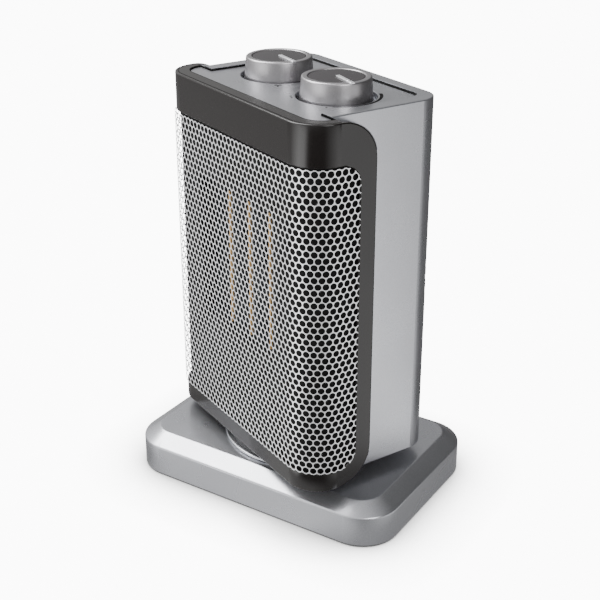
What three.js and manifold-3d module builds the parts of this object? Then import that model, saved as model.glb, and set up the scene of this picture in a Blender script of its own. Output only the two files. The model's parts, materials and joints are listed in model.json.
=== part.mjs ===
// Ceramic space heater: a slim upright fan heater that swings on a low base.
// Millimetres, +Z up. The origin is on the floor, on the axis that the body swings about.
// The base faces -Y, and at rest the body on it is turned to one side.

import * as THREE from "three";
import { mergeGeometries, mergeVertices } from "three/addons/utils/BufferGeometryUtils.js";
import Module from "manifold-3d";

const wasm = await Module();
wasm.setup();

// Fits and cuts that every piece shares
const gap = 0.3; // between two pieces that touch or slide
const overrun = 3; // how far a cutting solid runs past what it cuts

// Base: a tray turned over, with a sloping edge
const baseWidth = 192;
const baseDepth = 130;
const baseCornerRadius = 25;
const baseWallHeight = 19.5;
const baseSlopeRun = 10.7;
const baseSlopeHeight = 6.3;
const baseWall = 2.4;
const floorClearance = 1.5; // under the tray's lower edge
const plateRecess = 0.5; // base plate above the tray's lower edge
const plateThickness = 2;

// What is fixed in the base
const footRadius = 8;
const footInset = 18;
const footStemRadius = 2.7;
const footBulbRadius = 3.6;
const footBulbHeight = 2;
const postRadius = 4;
const postInset = 38;
const baseScrewRadius = 1.4;
const baseScrewHeadRadius = 3.1;
const baseScrewHeadHeight = 1.2;
const baseScrewLength = 11;
const glandRadius = 5.4;
const glandFlangeRadius = 7;
const glandFlangeThickness = 1.4;
const glandBoreRadius = 4;
const glandInset = 13; // from where the rear corner's curve starts

// Tip-over switch: a sprung rod that the floor holds in
const plungerRadius = 3;
const plungerCollarRadius = 4.2;
const plungerCollarHeight = 1;
const plungerTravel = 3;
const tipSwitchWidth = 20;
const tipSwitchDepth = 12;
const tipSwitchHeight = 13;
const tipSwitchInset = 26; // from the base's front edge

// Turntable and the spindle that the body turns on
const discRadius = 50.5;
const discHeight = 2;
const discBevel = 1.2;
const swingGap = 5.3; // between the disc and the body's floor
const spindleRadius = 8;
const spindleBoreRadius = 5.5;
const spindleFlangeRadius = 15;
const spindleFlangeThickness = 2;
const washerRadius = 13;
const washerThickness = 1.5;
const clipRadius = 10.8;
const clipThickness = 1;
const clipGrooveDepth = 1;
const spindleHead = 2; // above the clip
const slideRingRadius = 48.5;
const slideRingWidth = 4;

// Toothed sector on the disc, and the pinion that rolls round it
const gearModule = 1;
const sectorTeeth = 60; // on the full circle
const pinionTeeth = 12;
const pressureAngle = 20; // degrees
const addendumShare = 0.8; // of the module
const dedendumShare = 1.15; // of the module
const toothBacklash = 0.3;
const swingEachWay = 35; // degrees from straight ahead
const spareTeeth = 1; // past the swing, on each side
const gearThickness = 3.6;
const sectorHubWidth = 5;
const pinionBoreRadius = 2.1;
const pinionNeckRadius = 3.4;
const motorShaftRadius = 1.8;
const swingMotorRadius = 14;
const swingMotorHeight = 19;
const swingMotorOffset = 8; // of its shaft from its middle

// Body: bezel in front, housing behind
const bodyHeight = 230;
const housingWidth = 142;
const flareWidth = 11.9; // of the bezel past the housing, on each side
const bezelCornerRadius = 21;
const bezelWall = 2.4;
const bodyDepth = 102;
const axisDepth = 49.6; // of the swing axis behind the bezel's front
const seamDepth = 23; // where the bezel ends on the top and below
const lobeDepth = 46.8; // how far the bezel reaches back at the sides
const lobeRadius = 24;
const housingCornerRadius = 11.5;
const housingWall = 2.2;
const rimRise = 0.5; // of the housing's rim over the bezel
const flareRun = 6; // how far back the flare leans

// Window in the bezel, and the perforated sheet in it
const windowBottom = 12.6;
const windowHeader = 24.6; // of the bezel over the window
const windowDepth = 34.3;
const windowRadius = 12;
const grilleStand = 1.3; // in front of the bezel
const grilleThickness = 1;
const grilleReturn = 5; // the sheet's edge, folded inwards
const holePitch = 20; // about, fitted to the sheet
const holeRadius = 8.2;
const holeMargin = 1.2; // of solid sheet round the holes

// Control panel, set into the top
const topMargin = 10; // of the bezel in front of the panel
const panelInset = 8.3; // from the bezel's sides
const panelCornerRadius = 12;
const panelNeckInset = 10; // from the housing's sides
const panelNeckRadius = 5;
const rearMargin = 9;
const panelDrop = 1.5; // below the rim
const panelLip = 2; // under the rim
const panelLipThickness = 1.8;

// Wells for the knobs
const knobSpreadShare = 0.508; // of the panel's neck
const knobDepth = 54; // behind the bezel's front
const wellShare = 0.387; // of the knobs' spread
const wellDepth = 6;
const wellWall = 1.4;

// Knobs
const knobClearance = 2.2; // between a knob's foot and its well
const knobTaper = 1.2;
const knobRise = 12; // over the panel
const knobSink = 4; // below the panel
const knobEdge = 1;
const knobShell = 2.4;
const knobRim = 3.8; // round the inlay
const inlayThickness = 1.2;
const inlayDrop = 0.3;
const knobHubRadius = 5.5;
const pointerStart = 1.5; // from the knob's middle
const pointerOverhang = 0.4; // past the rim
const pointerWidth = 3.6;
const pointerHeight = 0.8;
const modeTurn = -6; // degrees, where the photograph shows the pointers
const thermostatTurn = -9.5;

// Switch, thermostat and the plate that carries them
const stemRadius = 3;
const bracketDrop = 24; // of the plate below the panel
const bracketThickness = 1.6;
const bracketFront = 32;
const bracketRear = 84;
const bushingRadius = 4.7;
const bushingHeight = 5;
const switchSize = 24;
const switchHeight = 15;
const thermostatRadius = 15;
const thermostatHeight = 12;
const stemSocket = 5; // how far a stem reaches into its switch

// Heating element
const elementRise = 12; // of its middle over the window's middle
const barLength = 97;
const barWidth = 5;
const barPitch = 23.5;
const barDepth = 10;
const elementFront = 10;
const elementRim = 5;
const elementFrameDepth = 15.4;
const barSetback = 2; // of the bars behind the frame's front
const finSheet = 0.6;
const finFolds = 13;
const finSetback = 0.6; // of the fins behind the bars' front
const terminalWidth = 46;
const terminalHeight = 7;
const terminalDepth = 9;
const tabWidth = 6.3;
const tabThickness = 1;
const tabLength = 8;
const tabPitch = 15;
const cutoutRadius = 8;
const cutoutDepth = 5;
const cutoutRise = 10; // over the element's frame

// Fan, its duct and its motor
const fanRise = 1; // over the body's middle
const ductFront = 26;
const ductPlateThickness = 2;
const ductPlateGap = 0.4; // between the plate and the housing's sides
const ductPlateBottom = 38;
const ductHeadroom = 30; // between the plate and the body's top
const ductSideGap = 8; // between the tube and the housing's sides
const ductWall = 1.8;
const ductRear = 92;
const bladeClearance = 3; // between the blades and the tube
const fanHubRadius = 16;
const fanHubDepth = 15;
const fanBlades = 7;
const bladeRootChord = 15;
const bladeTipChord = 30;
const bladeThickness = 1.6;
const bladeRootPitch = 52; // degrees from the fan's plane
const bladeTipPitch = 24;
const bladeStations = 4; // along a blade
const fanGap = 4; // between the motor's bracket and the fan
const fanRearGap = 6.8; // between the fan and the housing's rear wall
const fanMotorRadius = 18;
const fanMotorDepth = 26;
const fanShaftRadius = 1.6;
const fanShaftSocket = 8;
const spiderThickness = 3;
const spiderHubRadius = 21;
const spiderRimWidth = 4;
const spiderArms = 3;
const spiderArmTurn = 16; // degrees that an arm takes up

// Screws that hold the housing to the duct's posts
const bossRadius = 5;
const bossLength = 8;
const counterboreRadius = 3.7;
const counterboreDepth = 4;
const housingScrewRadius = 1.4;
const housingScrewHeadRadius = 3.2;
const housingScrewHeadHeight = 1.6;
const housingScrewLength = 14;
const screwInset = 15; // from the housing's sides
const screwBottom = 46;
const screwHeadroom = 38; // between the upper screws and the body's top

// Slots in the rear
const louvreInset = 3.5; // from the housing's sides
const louvrePitch = 8.7;
const louvreSlot = 4.5;

// Terminal block on the body's floor
const blockMotorGap = 9; // between the block and the swing motor
const blockDepth = 14;
const blockHeight = 13;
const blockWays = 4;
const blockWayWidth = 5;
const blockWayDepth = 6;
const blockInset = 14; // from the housing's side

// Rest pose
const restTurn = -24; // degrees, from facing the base's front

// Facets
const cornerSteps = 5; // in a quarter turn
const roundSteps = 20; // round a large circle
const middleSteps = 16; // round a small circle
const smallSteps = 8; // round a pin or a hole
const holeSides = 6;

// Sizes that follow from the ones above
const quarter = Math.PI / 2;
const baseShoulder = floorClearance + baseWallHeight;
const baseTop = baseShoulder + baseSlopeHeight;
const plateBottom = floorClearance + plateRecess;
const plateTop = plateBottom + plateThickness;
const discTop = baseTop + discHeight;
const bodyLift = discTop + swingGap;
const floorTop = housingWall;
const rimTop = bodyHeight + rimRise;
const rimUnder = rimTop - housingWall;
const panelTop = rimTop - panelDrop;
const windowTop = bodyHeight - windowHeader;
const windowMiddle = (windowBottom + windowTop) / 2;
const elementHeight = windowMiddle + elementRise;
const fanHeight = bodyHeight / 2 + fanRise;
const screwTop = bodyHeight - screwHeadroom;
const bezelWidth = housingWidth + 2 * flareWidth;
const bezelHalf = bezelWidth / 2;
const housingHalf = housingWidth / 2;
const housingInner = housingHalf - housingWall;
const glandOffset = baseWidth / 2 - baseCornerRadius - glandInset;
const sectorRadius = (gearModule * sectorTeeth) / 2;
const pinionRadius = (gearModule * pinionTeeth) / 2;
const pinionDistance = sectorRadius + pinionRadius;
const panelWidth = bezelWidth - 2 * panelInset;
const panelNeckWidth = housingWidth - 2 * panelNeckInset;
const knobSpread = panelNeckWidth * knobSpreadShare;
const wellRadius = knobSpread * wellShare;
const knobFootRadius = wellRadius - knobClearance;
const knobTopRadius = knobFootRadius - knobTaper;
const inlayRadius = knobTopRadius - knobRim;
const ductRadius = housingInner - ductSideGap - ductWall;
const fanRadius = ductRadius - bladeClearance;
const louvreRadius = housingHalf - louvreInset;
const louvresEachWay = Math.floor((louvreRadius - louvreSlot) / louvrePitch);
const blockWidth = housingHalf - blockInset - swingMotorRadius - blockMotorGap;
const postTop = ductRear - gap;
const bracketTop = panelTop - bracketDrop;
const stemBottom = bracketTop - bracketThickness - gap - stemSocket;
const fanFront = bodyDepth - housingWall - fanRearGap - fanHubDepth;
const spiderDepth = fanFront - fanGap - spiderThickness;

const corners = [
  [-1, -1],
  [1, -1],
  [1, 1],
  [-1, 1],
];

// Solids: joining and cutting

// A closed geometry as a solid, without the empty triangles at a revolve's poles.
function solid(geometry) {
  const bare = geometry.clone();
  bare.deleteAttribute("normal");
  bare.deleteAttribute("uv");
  const welded = mergeVertices(bare);
  const corner = welded.index.array;
  const triangles = [];
  for (let i = 0; i < corner.length; i += 3) {
    const [a, b, c] = [corner[i], corner[i + 1], corner[i + 2]];
    if (a !== b && b !== c && c !== a) triangles.push(a, b, c);
  }
  return new wasm.Manifold(
    new wasm.Mesh({
      numProp: 3,
      vertProperties: new Float32Array(welded.attributes.position.array),
      triVerts: new Uint32Array(triangles),
    }),
  );
}

function geometryOf(made) {
  const mesh = made.getMesh();
  const geometry = new THREE.BufferGeometry();
  geometry.setAttribute("position", new THREE.BufferAttribute(mesh.vertProperties, mesh.numProp));
  geometry.setIndex(new THREE.BufferAttribute(mesh.triVerts, 1));
  return geometry;
}

function join(...pieces) {
  return geometryOf(pieces.map(solid).reduce((sum, next) => sum.add(next)));
}

function cut(piece, ...tools) {
  return geometryOf(tools.map(solid).reduce((rest, tool) => rest.subtract(tool), solid(piece)));
}

function common(first, second) {
  return geometryOf(solid(first).intersect(solid(second)));
}

// Geometries that don't touch each other, as one cutting tool
function together(pieces) {
  return mergeGeometries(
    pieces.map((piece) => {
      const bare = piece.index ? piece.toNonIndexed() : piece.clone();
      bare.deleteAttribute("normal");
      bare.deleteAttribute("uv");
      return bare;
    }),
  );
}

// Outlines, anticlockwise

function arc(x, y, radius, from, to, steps = cornerSteps) {
  return Array.from({ length: steps + 1 }, (_, i) => {
    const angle = from + ((to - from) * i) / steps;
    return new THREE.Vector2(x + radius * Math.cos(angle), y + radius * Math.sin(angle));
  });
}

function rectangle(left, right, low, high) {
  return [
    new THREE.Vector2(left, low),
    new THREE.Vector2(right, low),
    new THREE.Vector2(right, high),
    new THREE.Vector2(left, high),
  ];
}

function roundedRectangle(width, depth, radius, steps = cornerSteps) {
  const x = width / 2 - radius;
  const y = depth / 2 - radius;
  return [
    ...arc(x, -y, radius, -quarter, 0, steps),
    ...arc(x, y, radius, 0, quarter, steps),
    ...arc(-x, y, radius, quarter, 2 * quarter, steps),
    ...arc(-x, -y, radius, 2 * quarter, 3 * quarter, steps),
  ];
}

// Solids from outlines and profiles

// An outline in X and Y, pulled up from one height to another
function prism(outline, from, to) {
  const shape = new THREE.Shape(outline);
  const pulled = new THREE.ExtrudeGeometry(shape, { depth: to - from, bevelEnabled: false });
  return pulled.translate(0, 0, from);
}

// An outline in Y and Z, pulled along X
function prismAlongX(outline, from, to) {
  const turned = new THREE.Matrix4().makeBasis(
    new THREE.Vector3(0, 1, 0),
    new THREE.Vector3(0, 0, 1),
    new THREE.Vector3(1, 0, 0),
  );
  return prism(outline, from, to).applyMatrix4(turned);
}

// An outline in X and Z, pulled along Y
function prismAlongY(outline, from, to) {
  return prism(outline, -to, -from).rotateX(quarter);
}

function box(left, right, front, rear, low, high) {
  return prism(rectangle(left, right, front, rear), low, high);
}

// Outlines with as many points each, stacked from low to high and skinned
function loft(rings) {
  const count = rings[0][0].length;
  const positions = rings.flatMap(([outline, height]) => outline.flatMap((p) => [p.x, p.y, height]));
  const index = [];
  for (let ring = 0; ring < rings.length - 1; ring += 1) {
    for (let i = 0; i < count; i += 1) {
      const next = (i + 1) % count;
      const [a, b] = [ring * count + i, ring * count + next];
      index.push(a, b, b + count, a, b + count, a + count);
    }
  }
  const top = (rings.length - 1) * count;
  for (const [a, b, c] of THREE.ShapeUtils.triangulateShape(rings[0][0], [])) index.push(a, c, b);
  for (const [a, b, c] of THREE.ShapeUtils.triangulateShape(rings.at(-1)[0], [])) {
    index.push(top + a, top + b, top + c);
  }
  const geometry = new THREE.BufferGeometry();
  geometry.setAttribute("position", new THREE.Float32BufferAttribute(positions, 3));
  geometry.setIndex(index);
  return geometry;
}

// A profile of radius and depth, turned about Y
function turnedAboutY(profile, steps) {
  const points = profile.map(([radius, depth]) => new THREE.Vector2(radius, depth));
  return new THREE.LatheGeometry(points, steps);
}

// A profile of radius and height, turned about Z
function turnedAboutZ(profile, steps) {
  return turnedAboutY(profile, steps).rotateX(quarter);
}

function pinProfile(radius, from, to) {
  return [
    [0, from],
    [radius, from],
    [radius, to],
    [0, to],
  ];
}

function ringProfile(inner, outer, from, to) {
  return [
    [inner, from],
    [outer, from],
    [outer, to],
    [inner, to],
    [inner, from],
  ];
}

const pin = (radius, from, to, steps = smallSteps) =>
  turnedAboutZ(pinProfile(radius, from, to), steps);
const ring = (inner, outer, from, to, steps = middleSteps) =>
  turnedAboutZ(ringProfile(inner, outer, from, to), steps);
const pinAboutY = (radius, from, to, steps = smallSteps) =>
  turnedAboutY(pinProfile(radius, from, to), steps);
const ringAboutY = (inner, outer, from, to, steps = roundSteps) =>
  turnedAboutY(ringProfile(inner, outer, from, to), steps);

// Base

function baseOutline(inset) {
  return roundedRectangle(
    baseWidth - 2 * inset,
    baseDepth - 2 * inset,
    baseCornerRadius - inset,
  );
}

// A place near each corner of the base, so far in from its sides
function baseCorners(insetX, insetY) {
  return corners.map(([sideX, sideY]) => [
    sideX * (baseWidth / 2 - insetX),
    sideY * (baseDepth / 2 - insetY),
  ]);
}

const footPlaces = baseCorners(footInset, footInset);
const postPlaces = baseCorners(postInset, footInset);
const tipSwitchY = tipSwitchInset - baseDepth / 2;
const glandHeight = floorClearance + baseWallHeight / 2;

function makeBaseCover() {
  const outside = loft([
    [baseOutline(0), floorClearance],
    [baseOutline(0), baseShoulder],
    [baseOutline(baseSlopeRun), baseTop],
  ]);
  const inside = loft([
    [baseOutline(baseWall), floorClearance - overrun],
    [baseOutline(baseWall), baseShoulder - baseWall / 2],
    [baseOutline(baseWall + baseSlopeRun), baseTop - baseWall],
  ]);
  const posts = postPlaces.map(([x, y]) =>
    ring(baseScrewRadius + gap, postRadius, plateTop + gap, baseTop - baseWall / 2, smallSteps)
      .translate(x, y, 0),
  );
  const spindleHole = pin(spindleRadius + gap, baseShoulder, baseTop + overrun, middleSteps);
  const glandHole = pinAboutY(
    glandRadius + gap,
    baseDepth / 2 - baseWall - overrun,
    baseDepth / 2 + overrun,
  ).translate(glandOffset, 0, glandHeight);
  return cut(join(cut(outside, inside), ...posts), spindleHole, glandHole);
}

function makeBasePlate() {
  const plate = prism(baseOutline(baseWall + gap), plateBottom, plateTop);
  const hole = (radius, x, y) =>
    pin(radius + gap, plateBottom - overrun, plateTop + overrun).translate(x, y, 0);
  return cut(
    plate,
    ...footPlaces.map(([x, y]) => hole(footStemRadius, x, y)),
    ...postPlaces.map(([x, y]) => hole(baseScrewRadius, x, y)),
    hole(plungerRadius, 0, tipSwitchY),
  );
}

// A pad, a stem through the plate and a bulb that holds it there
function makeFoot() {
  const bulbBottom = plateTop + gap;
  return turnedAboutZ(
    [
      [0, 0],
      [footRadius, 0],
      [footRadius, plateBottom - gap],
      [footStemRadius, plateBottom - gap],
      [footStemRadius, bulbBottom],
      [footBulbRadius, bulbBottom],
      [footStemRadius, bulbBottom + footBulbHeight],
      [0, bulbBottom + footBulbHeight],
    ],
    smallSteps,
  );
}

// A pan head with its shank above it
function makeBaseScrew() {
  const headTop = plateBottom - gap;
  return turnedAboutZ(
    [
      [0, headTop - baseScrewHeadHeight],
      [baseScrewHeadRadius, headTop - baseScrewHeadHeight],
      [baseScrewHeadRadius, headTop],
      [baseScrewRadius, headTop],
      [baseScrewRadius, headTop + baseScrewLength],
      [0, headTop + baseScrewLength],
    ],
    smallSteps,
  );
}

// A bush clamped in the rear wall, with the way for the cord through it
function makeCordGland() {
  const outer = baseDepth / 2 + gap;
  const inner = baseDepth / 2 - baseWall - gap;
  return turnedAboutY(
    [
      [glandBoreRadius, inner - glandFlangeThickness],
      [glandFlangeRadius, inner - glandFlangeThickness],
      [glandFlangeRadius, inner],
      [glandRadius, inner],
      [glandRadius, outer],
      [glandFlangeRadius, outer],
      [glandRadius, outer + glandFlangeThickness],
      [glandBoreRadius, outer + glandFlangeThickness],
      [glandBoreRadius, inner - glandFlangeThickness],
    ],
    smallSteps,
  ).translate(glandOffset, 0, glandHeight);
}

const switchBottom = plateTop + gap;
const collarBottom = switchBottom + plungerTravel;
const collarTop = collarBottom + plungerCollarHeight;

function makeTipSwitch() {
  const top = switchBottom + tipSwitchHeight;
  const body = box(
    -tipSwitchWidth / 2,
    tipSwitchWidth / 2,
    -tipSwitchDepth / 2,
    tipSwitchDepth / 2,
    switchBottom,
    top,
  );
  const chamber = pin(plungerCollarRadius + gap, switchBottom - overrun, collarTop + gap);
  return cut(body, chamber).translate(0, tipSwitchY, 0);
}

function makeTipPlunger() {
  return turnedAboutZ(
    [
      [0, 0],
      [plungerRadius, 0],
      [plungerRadius, collarBottom],
      [plungerCollarRadius, collarBottom],
      [plungerCollarRadius, collarTop],
      [0, collarTop],
    ],
    smallSteps,
  ).translate(0, tipSwitchY, 0);
}

// Turntable

function makeTurntableDisc() {
  const bottom = baseTop + gap;
  return turnedAboutZ(
    [
      [spindleRadius + gap, bottom],
      [discRadius, bottom],
      [discRadius, discTop - discBevel],
      [discRadius - discBevel, discTop],
      [spindleRadius + gap, discTop],
      [spindleRadius + gap, bottom],
    ],
    roundSteps,
  );
}

const washerBottom = bodyLift + floorTop + gap;
const clipBottom = washerBottom + washerThickness + gap;
const clipTop = clipBottom + clipThickness;

// A hollow post with a flange under the tray's top and a groove for the clip
function makeSpindle() {
  const flangeTop = baseTop - baseWall - gap;
  const grooveRadius = spindleRadius - clipGrooveDepth;
  const top = clipTop + spindleHead;
  return turnedAboutZ(
    [
      [spindleBoreRadius, flangeTop - spindleFlangeThickness],
      [spindleFlangeRadius, flangeTop - spindleFlangeThickness],
      [spindleFlangeRadius, flangeTop],
      [spindleRadius, flangeTop],
      [spindleRadius, clipBottom - gap],
      [grooveRadius, clipBottom - gap],
      [grooveRadius, clipTop + gap],
      [spindleRadius, clipTop + gap],
      [spindleRadius, top],
      [spindleBoreRadius, top],
      [spindleBoreRadius, flangeTop - spindleFlangeThickness],
    ],
    middleSteps,
  );
}

function makeSpindleWasher() {
  return ring(spindleRadius + gap, washerRadius, washerBottom, washerBottom + washerThickness);
}

// An open ring, slid into the spindle's groove from the side
function makeSpindleClip() {
  const inner = spindleRadius - clipGrooveDepth + gap;
  const whole = ring(inner, clipRadius, clipBottom, clipTop);
  const mouth = box(0, clipRadius + overrun, -inner / 2, inner / 2, discTop, clipTop + overrun);
  return cut(whole, mouth);
}

// Gear teeth

// Half of an involute tooth's angle at a radius
function toothHalfAngle(teeth, radius) {
  const pressure = THREE.MathUtils.degToRad(pressureAngle);
  const pitchRadius = (gearModule * teeth) / 2;
  const involute = (angle) => Math.tan(angle) - angle;
  const local = Math.acos(Math.min(1, (pitchRadius * Math.cos(pressure)) / radius));
  const atPitch = Math.PI / (2 * teeth) - toothBacklash / (2 * pitchRadius);
  return atPitch + involute(pressure) - involute(local);
}

// The outline of one tooth, standing at an angle
function tooth(teeth, angle) {
  const pitchRadius = (gearModule * teeth) / 2;
  const root = pitchRadius - dedendumShare * gearModule;
  const tip = pitchRadius + addendumShare * gearModule;
  const flank = [root, pitchRadius, tip];
  const at = (radius, side) => {
    const turn = angle + side * toothHalfAngle(teeth, radius);
    return new THREE.Vector2(radius * Math.cos(turn), radius * Math.sin(turn));
  };
  return [
    ...flank.map((radius) => at(radius, -1)),
    ...flank.toReversed().map((radius) => at(radius, 1)),
  ];
}

const sectorPitch = (4 * quarter) / sectorTeeth;
const teethEachWay = Math.ceil(THREE.MathUtils.degToRad(swingEachWay) / sectorPitch + spareTeeth);

function makeSectorGear() {
  const bottom = discTop + gap;
  const bore = spindleRadius + gap;
  const teeth = [];
  for (let i = -teethEachWay; i <= teethEachWay; i += 1) {
    teeth.push(...tooth(sectorTeeth, quarter + i * sectorPitch));
  }
  const sector = prism([new THREE.Vector2(0, 0), ...teeth], bottom, bottom + gearThickness);
  const hub = pin(bore + sectorHubWidth, bottom, bottom + gearThickness, middleSteps);
  const hole = pin(bore, bottom - overrun, bottom + gearThickness + overrun, middleSteps);
  return cut(join(sector, hub), hole);
}

// Housing

// Plan of the bezel from its front to a depth, drawn in by an inset
function bezelOutline(inset, rear) {
  const half = bezelHalf - inset;
  const radius = bezelCornerRadius - inset;
  const middle = half - radius;
  return [
    new THREE.Vector2(-half, rear),
    ...arc(-middle, inset + radius, radius, 2 * quarter, 3 * quarter),
    ...arc(middle, inset + radius, radius, 3 * quarter, 4 * quarter),
    new THREE.Vector2(half, rear),
  ];
}

// Side view of the bezel: square in front, with large round corners behind
function lobeOutline(inset, front) {
  const rear = lobeDepth - lobeRadius;
  const radius = lobeRadius - inset;
  return [
    new THREE.Vector2(front, inset),
    ...arc(rear, lobeRadius, radius, -quarter, 0),
    ...arc(rear, bodyHeight - lobeRadius, radius, 0, quarter),
    new THREE.Vector2(front, bodyHeight - inset),
  ];
}

// Side view of the window, drawn in by an inset
function windowOutline(inset) {
  const radius = windowRadius - inset;
  const rear = windowDepth - windowRadius;
  return [
    new THREE.Vector2(-overrun, windowBottom + inset),
    ...arc(rear, windowBottom + windowRadius, radius, -quarter, 0),
    ...arc(rear, windowTop - windowRadius, radius, 0, quarter),
    new THREE.Vector2(-overrun, windowTop - inset),
  ];
}

// Plan of the panel: wide in the bezel, with a narrower neck back over the housing
function panelOutline(grow, step = seamDepth) {
  const wide = panelWidth / 2 + grow;
  const neck = panelNeckWidth / 2 + grow;
  const front = topMargin - grow;
  const rear = bodyDepth - rearMargin + grow;
  const frontRadius = panelCornerRadius + grow;
  const rearRadius = panelNeckRadius + grow;
  return [
    ...arc(-wide + frontRadius, front + frontRadius, frontRadius, 2 * quarter, 3 * quarter),
    ...arc(wide - frontRadius, front + frontRadius, frontRadius, 3 * quarter, 4 * quarter),
    new THREE.Vector2(wide, step),
    new THREE.Vector2(neck, step),
    ...arc(neck - rearRadius, rear - rearRadius, rearRadius, 0, quarter),
    ...arc(-neck + rearRadius, rear - rearRadius, rearRadius, quarter, 2 * quarter),
    new THREE.Vector2(-neck, step),
    new THREE.Vector2(-wide, step),
  ];
}

function housingOutline(inset, front) {
  const half = housingHalf - inset;
  const radius = housingCornerRadius - inset;
  const rear = bodyDepth - housingCornerRadius;
  return [
    new THREE.Vector2(-half, front),
    new THREE.Vector2(half, front),
    ...arc(half - radius, rear, radius, 0, quarter),
    ...arc(-half + radius, rear, radius, quarter, 2 * quarter),
  ];
}

// The sloping band between the bezel's lobe and the housing's side, on side 1 or -1
function flareBand(side) {
  const inner = housingHalf - housingWall / 2;
  const outer = bezelHalf - bezelWall - gap;
  const [from, to] = side > 0 ? [inner, outer] : [-outer, -inner];
  const whole = prismAlongX(lobeOutline(0, seamDepth - flareRun), from, to);
  const hollow = prismAlongX(
    lobeOutline(housingWall, seamDepth - flareRun - overrun),
    from - overrun,
    to + overrun,
  );
  // Depth grows by the flare's run from the bezel's side to the housing's side.
  const lean = flareRun / (bezelHalf - housingHalf);
  const sheared = new THREE.Matrix4().set(
    1, 0, 0, 0,
    -side * lean, 1, 0, lean * bezelHalf,
    0, 0, 1, 0,
    0, 0, 0, 1,
  );
  const band = cut(whole, hollow).applyMatrix4(sheared);
  const front = seamDepth + gap;
  const kept = box(from, to, front, bodyDepth, 0, bodyHeight);
  return common(band, kept);
}

const screwSide = housingHalf - screwInset;
const screwPlaces = [
  [-screwSide, screwBottom],
  [screwSide, screwBottom],
  [screwSide, screwTop],
  [-screwSide, screwTop],
];

function louvreCutters() {
  const slots = [];
  for (let i = -louvresEachWay; i <= louvresEachWay; i += 1) {
    const offset = i * louvrePitch;
    const reach = Math.sqrt(louvreRadius ** 2 - offset ** 2);
    const middle = fanHeight + offset;
    slots.push(
      box(
        -reach,
        reach,
        bodyDepth - housingCornerRadius,
        bodyDepth + overrun,
        middle - louvreSlot / 2,
        middle + louvreSlot / 2,
      ),
    );
  }
  return together(slots);
}

function makeRearHousing() {
  const front = seamDepth + gap;
  const outside = prism(housingOutline(0, front), 0, rimTop);
  const inside = prism(housingOutline(housingWall, front - overrun), floorTop, rimUnder);
  const panelHole = prism(panelOutline(gap), rimUnder - overrun, rimTop + overrun);
  const axisHole = pin(spindleRadius + gap, -overrun, floorTop + overrun, middleSteps)
    .translate(0, axisDepth, 0);
  const shaftHole = pin(pinionNeckRadius + gap, -overrun, floorTop + overrun)
    .translate(0, axisDepth + pinionDistance, 0);
  const bosses = screwPlaces.map(([x, z]) =>
    pinAboutY(bossRadius, bodyDepth - bossLength, bodyDepth - housingWall / 2).translate(x, 0, z),
  );
  const bores = screwPlaces.flatMap(([x, z]) => [
    pinAboutY(counterboreRadius, bodyDepth - counterboreDepth, bodyDepth + overrun)
      .translate(x, 0, z),
    pinAboutY(housingScrewRadius + gap, bodyDepth - bossLength - overrun, bodyDepth + overrun)
      .translate(x, 0, z),
  ]);
  const shell = cut(outside, inside, panelHole, axisHole, shaftHole, louvreCutters());
  return cut(join(shell, flareBand(1), flareBand(-1), ...bosses), ...bores);
}

function makeFrontBezel() {
  const wall = cut(
    prism(bezelOutline(0, lobeDepth), 0, bodyHeight),
    prism(bezelOutline(bezelWall, lobeDepth + overrun), -overrun, bodyHeight + overrun),
  );
  const side = prismAlongX(lobeOutline(0, -overrun), -bezelWidth, bezelWidth);
  const opening = prismAlongX(windowOutline(0), -bezelWidth, bezelWidth);
  const mask = cut(common(wall, side), opening);
  const under = bodyHeight - bezelWall;
  const top = cut(
    prism(bezelOutline(bezelWall / 2, seamDepth), under, bodyHeight),
    prism(panelOutline(gap, seamDepth + overrun), under - overrun, bodyHeight + overrun),
  );
  const bottom = prism(bezelOutline(bezelWall / 2, seamDepth), 0, bezelWall);
  return join(mask, top, bottom);
}

// Grille

// A place on the sheet, by its distance along the sheet from the middle
function onGrille(along) {
  const radius = bezelCornerRadius + grilleStand;
  const flat = bezelHalf - bezelCornerRadius;
  const bend = radius * quarter;
  const side = Math.sign(along);
  const distance = Math.abs(along);
  if (distance <= flat) return { x: along, y: -grilleStand, turn: 0 };
  if (distance <= flat + bend) {
    const angle = (distance - flat) / radius;
    return {
      x: side * (flat + radius * Math.sin(angle)),
      y: bezelCornerRadius - radius * Math.cos(angle),
      turn: side * angle,
    };
  }
  return {
    x: side * (bezelHalf + grilleStand),
    y: bezelCornerRadius + distance - flat - bend,
    turn: side * quarter,
  };
}

// Whether a hole clears the sheet's edges and round rear corners
function holeFits(y, z) {
  const margin = holeRadius + holeMargin;
  const fromEnd = Math.min(z - windowBottom, windowTop - z);
  const fromRear = windowDepth - y;
  if (Math.min(fromEnd, fromRear) < margin) return false;
  if (fromEnd > windowRadius || fromRear > windowRadius) return true;
  const reach = Math.hypot(windowRadius - fromEnd, windowRadius - fromRear);
  return reach + margin <= windowRadius;
}

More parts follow.
